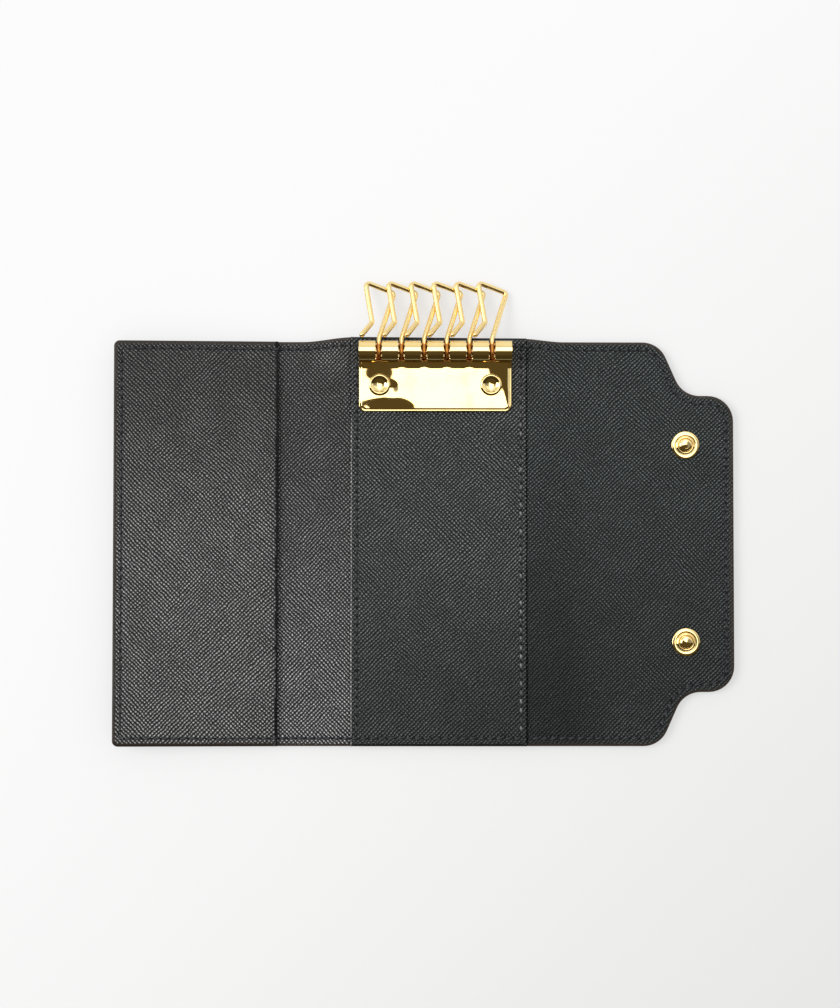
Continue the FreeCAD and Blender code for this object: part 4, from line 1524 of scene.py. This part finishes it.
@dataclass
class KeyHooks:
    """Six bent-wire hooks, each with an eye round the pin in the barrel."""

    CORNERS = np.array([(0.0, 1.475), (0.0, 3.6), (4.25, 17.5), (-3.85, 19.9), (-1.9, 8.3), (-4.75, 4.45)])

    plate: KeyPlate
    wire: float = 0.6
    stout: float = 0.7
    eye: float = 1.475
    bend: float = 0.9
    twist: float = 14.983
    droop: float = 15.05

    def surface(self, place: float) -> Surface:
        """Bend one hook: a tube along its rounded path, with a round tip, and a ring for its eye.

        The flat path is turned about its length by the twist, then down about the pin by the droop.

        Args:
            place: X of the hook's eye.

        Returns:
            The hook's surface.
        """
        flat = rounded_path(self.CORNERS, [self.bend] * 4, 8)
        reach = reaches(flat)
        even = np.unique(np.concatenate([reach, np.linspace(0.0, reach[-1], 60)]))
        even = even[np.concatenate([[True], np.diff(even) > 0.06])]
        flat = spots(flat, even)
        arc = np.linspace(0.0, QUARTER, 7)[1:]
        way = unit(flat[-1:] - flat[-2:-1])
        flat = np.concatenate([flat, flat[-1] + way * self.stout * np.sin(arc)[:, None]])
        grown = self.wire + (self.stout - self.wire) * smoothstep((even - 1.6) / 1.5)
        radius = np.concatenate([grown, self.stout * np.maximum(np.cos(arc), 0.02)])
        twist = math.radians(self.twist)
        path = np.stack([flat[:, 0] * math.cos(twist), flat[:, 1], -flat[:, 0] * math.sin(twist)], axis=1)
        normal = np.array([math.sin(twist), 0.0, math.cos(twist)])
        along = np.concatenate([even, np.full(len(arc), even[-1])])
        # The eye and the start of the wire take the painted shade inside the barrel.
        wire = tube(path, normal, radius, 1.0 - smoothstep((along - 0.2) / 0.8))
        turn, ring = np.meshgrid(np.linspace(0.0, ROUND, 28, endpoint=False),
                                 np.linspace(0.0, ROUND, 14, endpoint=False), indexing="ij")
        away = self.eye + self.wire * np.cos(ring)
        loop = np.stack([self.wire * np.sin(ring), away * np.cos(turn), away * np.sin(turn)], axis=-1)
        eye = Surface.grid(loop, mark=1.0, wrap=(True, True), turn=True)
        return Surface.joined([wire, eye]).bent(lambda points: self.hung(points, place))

    def hung(self, points: Array, place: float) -> Array:
        """Turn a hook down about the pin and move it to its slot.

        Args:
            points: Points of the level hook, its eye at the origin.
            place: X of the hook's eye.

        Returns:
            The moved points.
        """
        cos, sin = math.cos(math.radians(-self.droop)), math.sin(math.radians(-self.droop))
        return np.stack([points[:, 0] + place,
                         self.plate.axis_y + points[:, 1] * cos - points[:, 2] * sin,
                         self.plate.axis_z + points[:, 1] * sin + points[:, 2] * cos], axis=1)

    def build(self) -> None:
        """Build the six hooks on their bodies."""
        for number, place in enumerate(self.plate.centres, start=1):
            piece = self.surface(place).build(f"hook_wire_{number}", Finish.WIRE.material(), crease=60.0)
            enter(piece, [f"key_hook_{number}"], f"hook_{number}")


@dataclass
class Snaps:
    """The two snap studs on the flap and the two sockets on the wing's outer face."""

    STUD_FOOT = ((0.0, -0.4), (1.2, -0.4), (1.2, 0.0))
    STUD_SHOULDER = (
        (3.5, 0.44), (3.42, 0.45), (3.1, 0.45), (2.8, 0.45), (2.7, 0.44), (2.58, 0.38), (2.5, 0.34),
        (2.43, 0.38), (2.37, 0.5), (2.29, 0.58), (2.15, 0.61), (1.95, 0.6), (1.78, 0.54), (1.62, 0.52),
        (1.5, 0.6), (1.45, 0.75), (1.42, 1.0), (1.42, 1.62), (1.6, 1.68))
    STUD_CROWN = ((0.8, 2.105), (0.55, 2.12), (0.36, 2.14), (0.2, 2.17), (0.1, 2.185), (0.0, 2.19))
    SOCKET_INSIDE = ((2.8, -1.7), (2.8, -0.4), (0.0, -0.4))

    plan: CasePlan
    stud_x: float = 67.17
    spread: float = 26.8
    stud_base: float = 2.2
    socket_x: float = -32.7

    def stud(self, side: float) -> Surface:
        """Turn one stud: a rolled flange, a groove, a stepped shoulder and the knob on its neck.

        Args:
            side: 1 or minus 1, the end of the tongue.

        Returns:
            The turned surface.
        """
        roll = np.linspace(-QUARTER, 0.42 * math.pi, 9)
        flange = np.stack([3.58 + 0.22 * np.cos(roll), 0.22 + 0.2 * np.sin(roll)], axis=1)
        swell = np.linspace(0.0, QUARTER, 12)
        knob = np.stack([1.05 + 0.6 * np.cos(swell), 1.75 + 0.34 * np.sin(swell)], axis=1)
        profile = np.concatenate([self.STUD_FOOT, flange, self.STUD_SHOULDER, knob, self.STUD_CROWN])
        return lathe(profile, (self.stud_x, side * self.spread, self.stud_base))

    def socket(self, side: float) -> Surface:
        """Turn one socket, mouth down: rounded outer wall, inturned mouth, hollow inside.

        Args:
            side: 1 or minus 1, the end of the wing.

        Returns:
            The turned surface, moved on to the leaning wing.
        """
        edge = np.linspace(0.0, QUARTER, 7)
        foot = np.stack([3.75 + 0.25 * np.sin(edge), -0.25 + 0.25 * np.cos(edge)], axis=1)
        shoulder = np.stack([3.4 + 0.6 * np.cos(edge), -1.5 - 0.6 * np.sin(edge)], axis=1)
        mouth = np.stack([1.9 + 0.2 - 0.2 * np.sin(2.0 * edge), -1.9 + 0.2 * np.cos(2.0 * edge)], axis=1)[::-1]
        profile = np.concatenate([[(0.0, 0.0)], foot, shoulder, mouth, self.SOCKET_INSIDE])
        place = (self.plan.wing_axis + self.socket_x, side * self.spread, 0.0)
        return lathe(profile, place).bent(self.plan.bend)

    def build(self) -> None:
        """Build studs and sockets."""
        for kind, make, body in (("stud", self.stud, "flap"), ("socket", self.socket, "wing")):
            pair = Surface.joined([make(1.0), make(-1.0)])
            piece = pair.build(f"snap_{kind}_pair", Finish.GOLD.material(), crease=60.0)
            enter(piece, [f"snap_{kind}s"], body)


@dataclass
class HiddenParts:
    """Solids that keep their own mesh and only get a finish."""

    boards: tuple[str, ...] = ("wing_board", "back_board", "flap_board")
    brasses: tuple[str, ...] = ("hook_pin", "rivet_caps", "stud_rivets", "socket_rivets", "socket_springs")

    def dress(self, nodes: dict[str, Piece]) -> None:
        """Give each solid its finish.

        Args:
            nodes: The frame's objects by node name.
        """
        for names, finish in ((self.boards, Finish.BOARD), (self.brasses, Finish.BRASS)):
            for name in names:
                mesh = nodes[name].data
                mesh.materials.clear()
                mesh.materials.append(finish.material())
                LOG.info("%s: finish %s", name, finish.name)


# ------------------------------------------------------------------------------------ stage


@dataclass
class Stage:
    """Floor, light and camera of the picture."""

    camera_place: Triple = (-9.21, -22.83, 730.0)
    camera_turn: Triple = (2.64, -0.32, 0.04)
    lens: float = 95.6
    sensor: float = 36.0
    clip: Pair = (0.01, 50.0)
    floor_side: float = 3.0
    floor_height: float = -0.05
    floor_glow: float = 0.62
    ambient: float = 0.72
    key_strength: float = 1.4
    key_spread: float = 30.0
    key_way: Triple = (1.0, -0.14, -0.95)

    def build_camera(self) -> None:
        """Place the camera above the case, looking down, a little from the near side."""
        data = bpy.data.cameras.new("camera")
        data.lens = self.lens
        data.sensor_width = self.sensor
        data.clip_start, data.clip_end = self.clip
        camera = bpy.data.objects.new("camera", data)
        turn = Matrix.Identity(4)
        for angle, axis in zip(self.camera_turn, "XYZ"):
            turn = turn @ Matrix.Rotation(math.radians(angle), 4, axis)
        camera.matrix_world = Matrix.Translation([value * MM for value in self.camera_place]) @ turn
        bpy.context.scene.collection.objects.link(camera)
        bpy.context.scene.camera = camera

    def floor_material(self) -> Material:
        """Build a white with painted shade that falls off to the near right, and glows a little for the camera
        and reflections.

        Returns:
            The material.
        """
        graph, shader = new_material("white_floor")
        x, y, _ = graph.split(graph.place())
        # Painted shade: the white falls off towards the near right, for the floor and its glow.
        shade = graph.ramp(graph.math("MULTIPLY_ADD", y, -1.0, x), -0.16, 0.42, 0.0, 1.0)
        graph.fill(shader, {"Base Color": graph.mix(shade, (0.93, 0.93, 0.93), (0.71, 0.71, 0.695)),
                            "Roughness": 0.9, "Specular IOR Level": 0.1})
        colour = graph.mix(shade, (0.985, 0.985, 0.985), (0.765, 0.765, 0.75))
        glow = graph.add("Emission", {"Color": colour})
        rays = graph.add("LightPath").outputs
        seen = graph.math("MAXIMUM", rays["Is Camera Ray"],
                          graph.math("MAXIMUM", rays["Is Glossy Ray"], rays["Is Transmission Ray"]))
        share = graph.add("MixShader", {0: graph.math("MULTIPLY", seen, self.floor_glow),
                                        1: shader.outputs[0], 2: glow.outputs[0]})
        result = next(node for node in graph.tree.nodes if node.type == "OUTPUT_MATERIAL")
        graph.fill(result, {"Surface": share.outputs[0]})
        return bpy.data.materials["white_floor"]

    def build_floor(self) -> None:
        """Lay the white floor just below the case."""
        half = self.floor_side / MM / 2.0
        line = np.linspace(-half, half, 5)
        x, y = np.meshgrid(line, line, indexing="ij")
        surface = Surface.grid(np.stack([x, y, np.full_like(x, self.floor_height)], axis=-1))
        mesh = bpy.data.meshes.new("floor")
        mesh.from_pydata((surface.points * MM).tolist(), [], surface.faces.tolist())
        mesh.materials.append(self.floor_material())
        floor = bpy.data.objects.new("floor", mesh)
        bpy.context.scene.collection.objects.link(floor)

    def build_lamps(self) -> None:
        """Hang a soft key lamp on the left, far enough to light the case evenly."""
        data = bpy.data.lights.new("key_lamp", "SUN")
        data.energy = self.key_strength
        data.angle = math.radians(self.key_spread)
        lamp = bpy.data.objects.new("key_lamp", data)
        way = Vector(self.key_way)
        lamp.matrix_world = Matrix.Translation(-way) @ way.to_track_quat("-Z", "Y").to_matrix().to_4x4()
        bpy.context.scene.collection.objects.link(lamp)

    def build_world(self) -> None:
        """Light the case evenly from all round; polished metal sees a white room with a dim side.

        The room that reflections see has walls, a dark seam below the ceiling, a bright strip overhead and a
        ceiling that is white towards the far side. It is dim and warm from the zenith towards the near side.
        """
        world = bpy.data.worlds.new("room")
        world.use_nodes = True
        bpy.context.scene.world = world
        graph = Graph(world.node_tree)
        background = next(node for node in world.node_tree.nodes if node.type == "BACKGROUND")
        rays = graph.add("LightPath").outputs
        x, y, z = graph.split(graph.place("Generated"))
        strip = graph.ramp(graph.math("ABSOLUTE", x), 0.12, 0.17, 1.0, 0.0)
        overhead = graph.blend(strip, graph.ramp(y, 0.12, 0.30, 0.32, 1.3), 2.6)
        walls = graph.ramp(z, 0.45, 0.70, 1.0, 0.75)
        room = graph.blend(graph.ramp(z, 0.70, 0.72, 0.0, 1.0), walls, overhead)
        seam = graph.math("MULTIPLY", graph.ramp(z, 0.66, 0.68, 0.0, 1.0), graph.ramp(z, 0.70, 0.72, 1.0, 0.0))
        room = graph.blend(seam, room, 0.25)
        clear = graph.ramp(x, 0.06, 0.09, 0.0, 0.09)
        dim = graph.ramp(graph.math("ADD", y, clear), 0.052, 0.058, 1.0, 0.0)
        room = graph.blend(dim, room, graph.ramp(z, 0.55, 0.98, 0.05, 0.095))
        seen = graph.math("MAXIMUM", rays["Is Glossy Ray"], rays["Is Transmission Ray"])
        light = graph.blend(rays["Is Camera Ray"], graph.blend(seen, self.ambient, room), 1.0)
        warm = graph.mix(graph.math("MULTIPLY", dim, seen), (1.0, 1.0, 1.0), (1.0, 0.76, 0.36))
        graph.fill(background, {"Strength": light, "Color": warm})

    def build(self) -> None:
        """Set the stage and the view settings."""
        self.build_camera()
        self.build_floor()
        self.build_lamps()
        self.build_world()
        bpy.context.scene.view_settings.view_transform = "Standard"


def main() -> None:
    """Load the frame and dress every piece."""
    logging.basicConfig(level=logging.INFO, format="%(name)s: %(message)s")
    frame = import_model()
    plan = CasePlan()
    leather = Leatherwork(plan)
    leather.build()
    Sewing(plan, leather).build()
    plate = KeyPlate()
    plate.build()
    KeyHooks(plate).build()
    Snaps(plan).build()
    HiddenParts().dress(frame["nodes"])
    Stage().build()


if __name__ == "__main__":
    main()
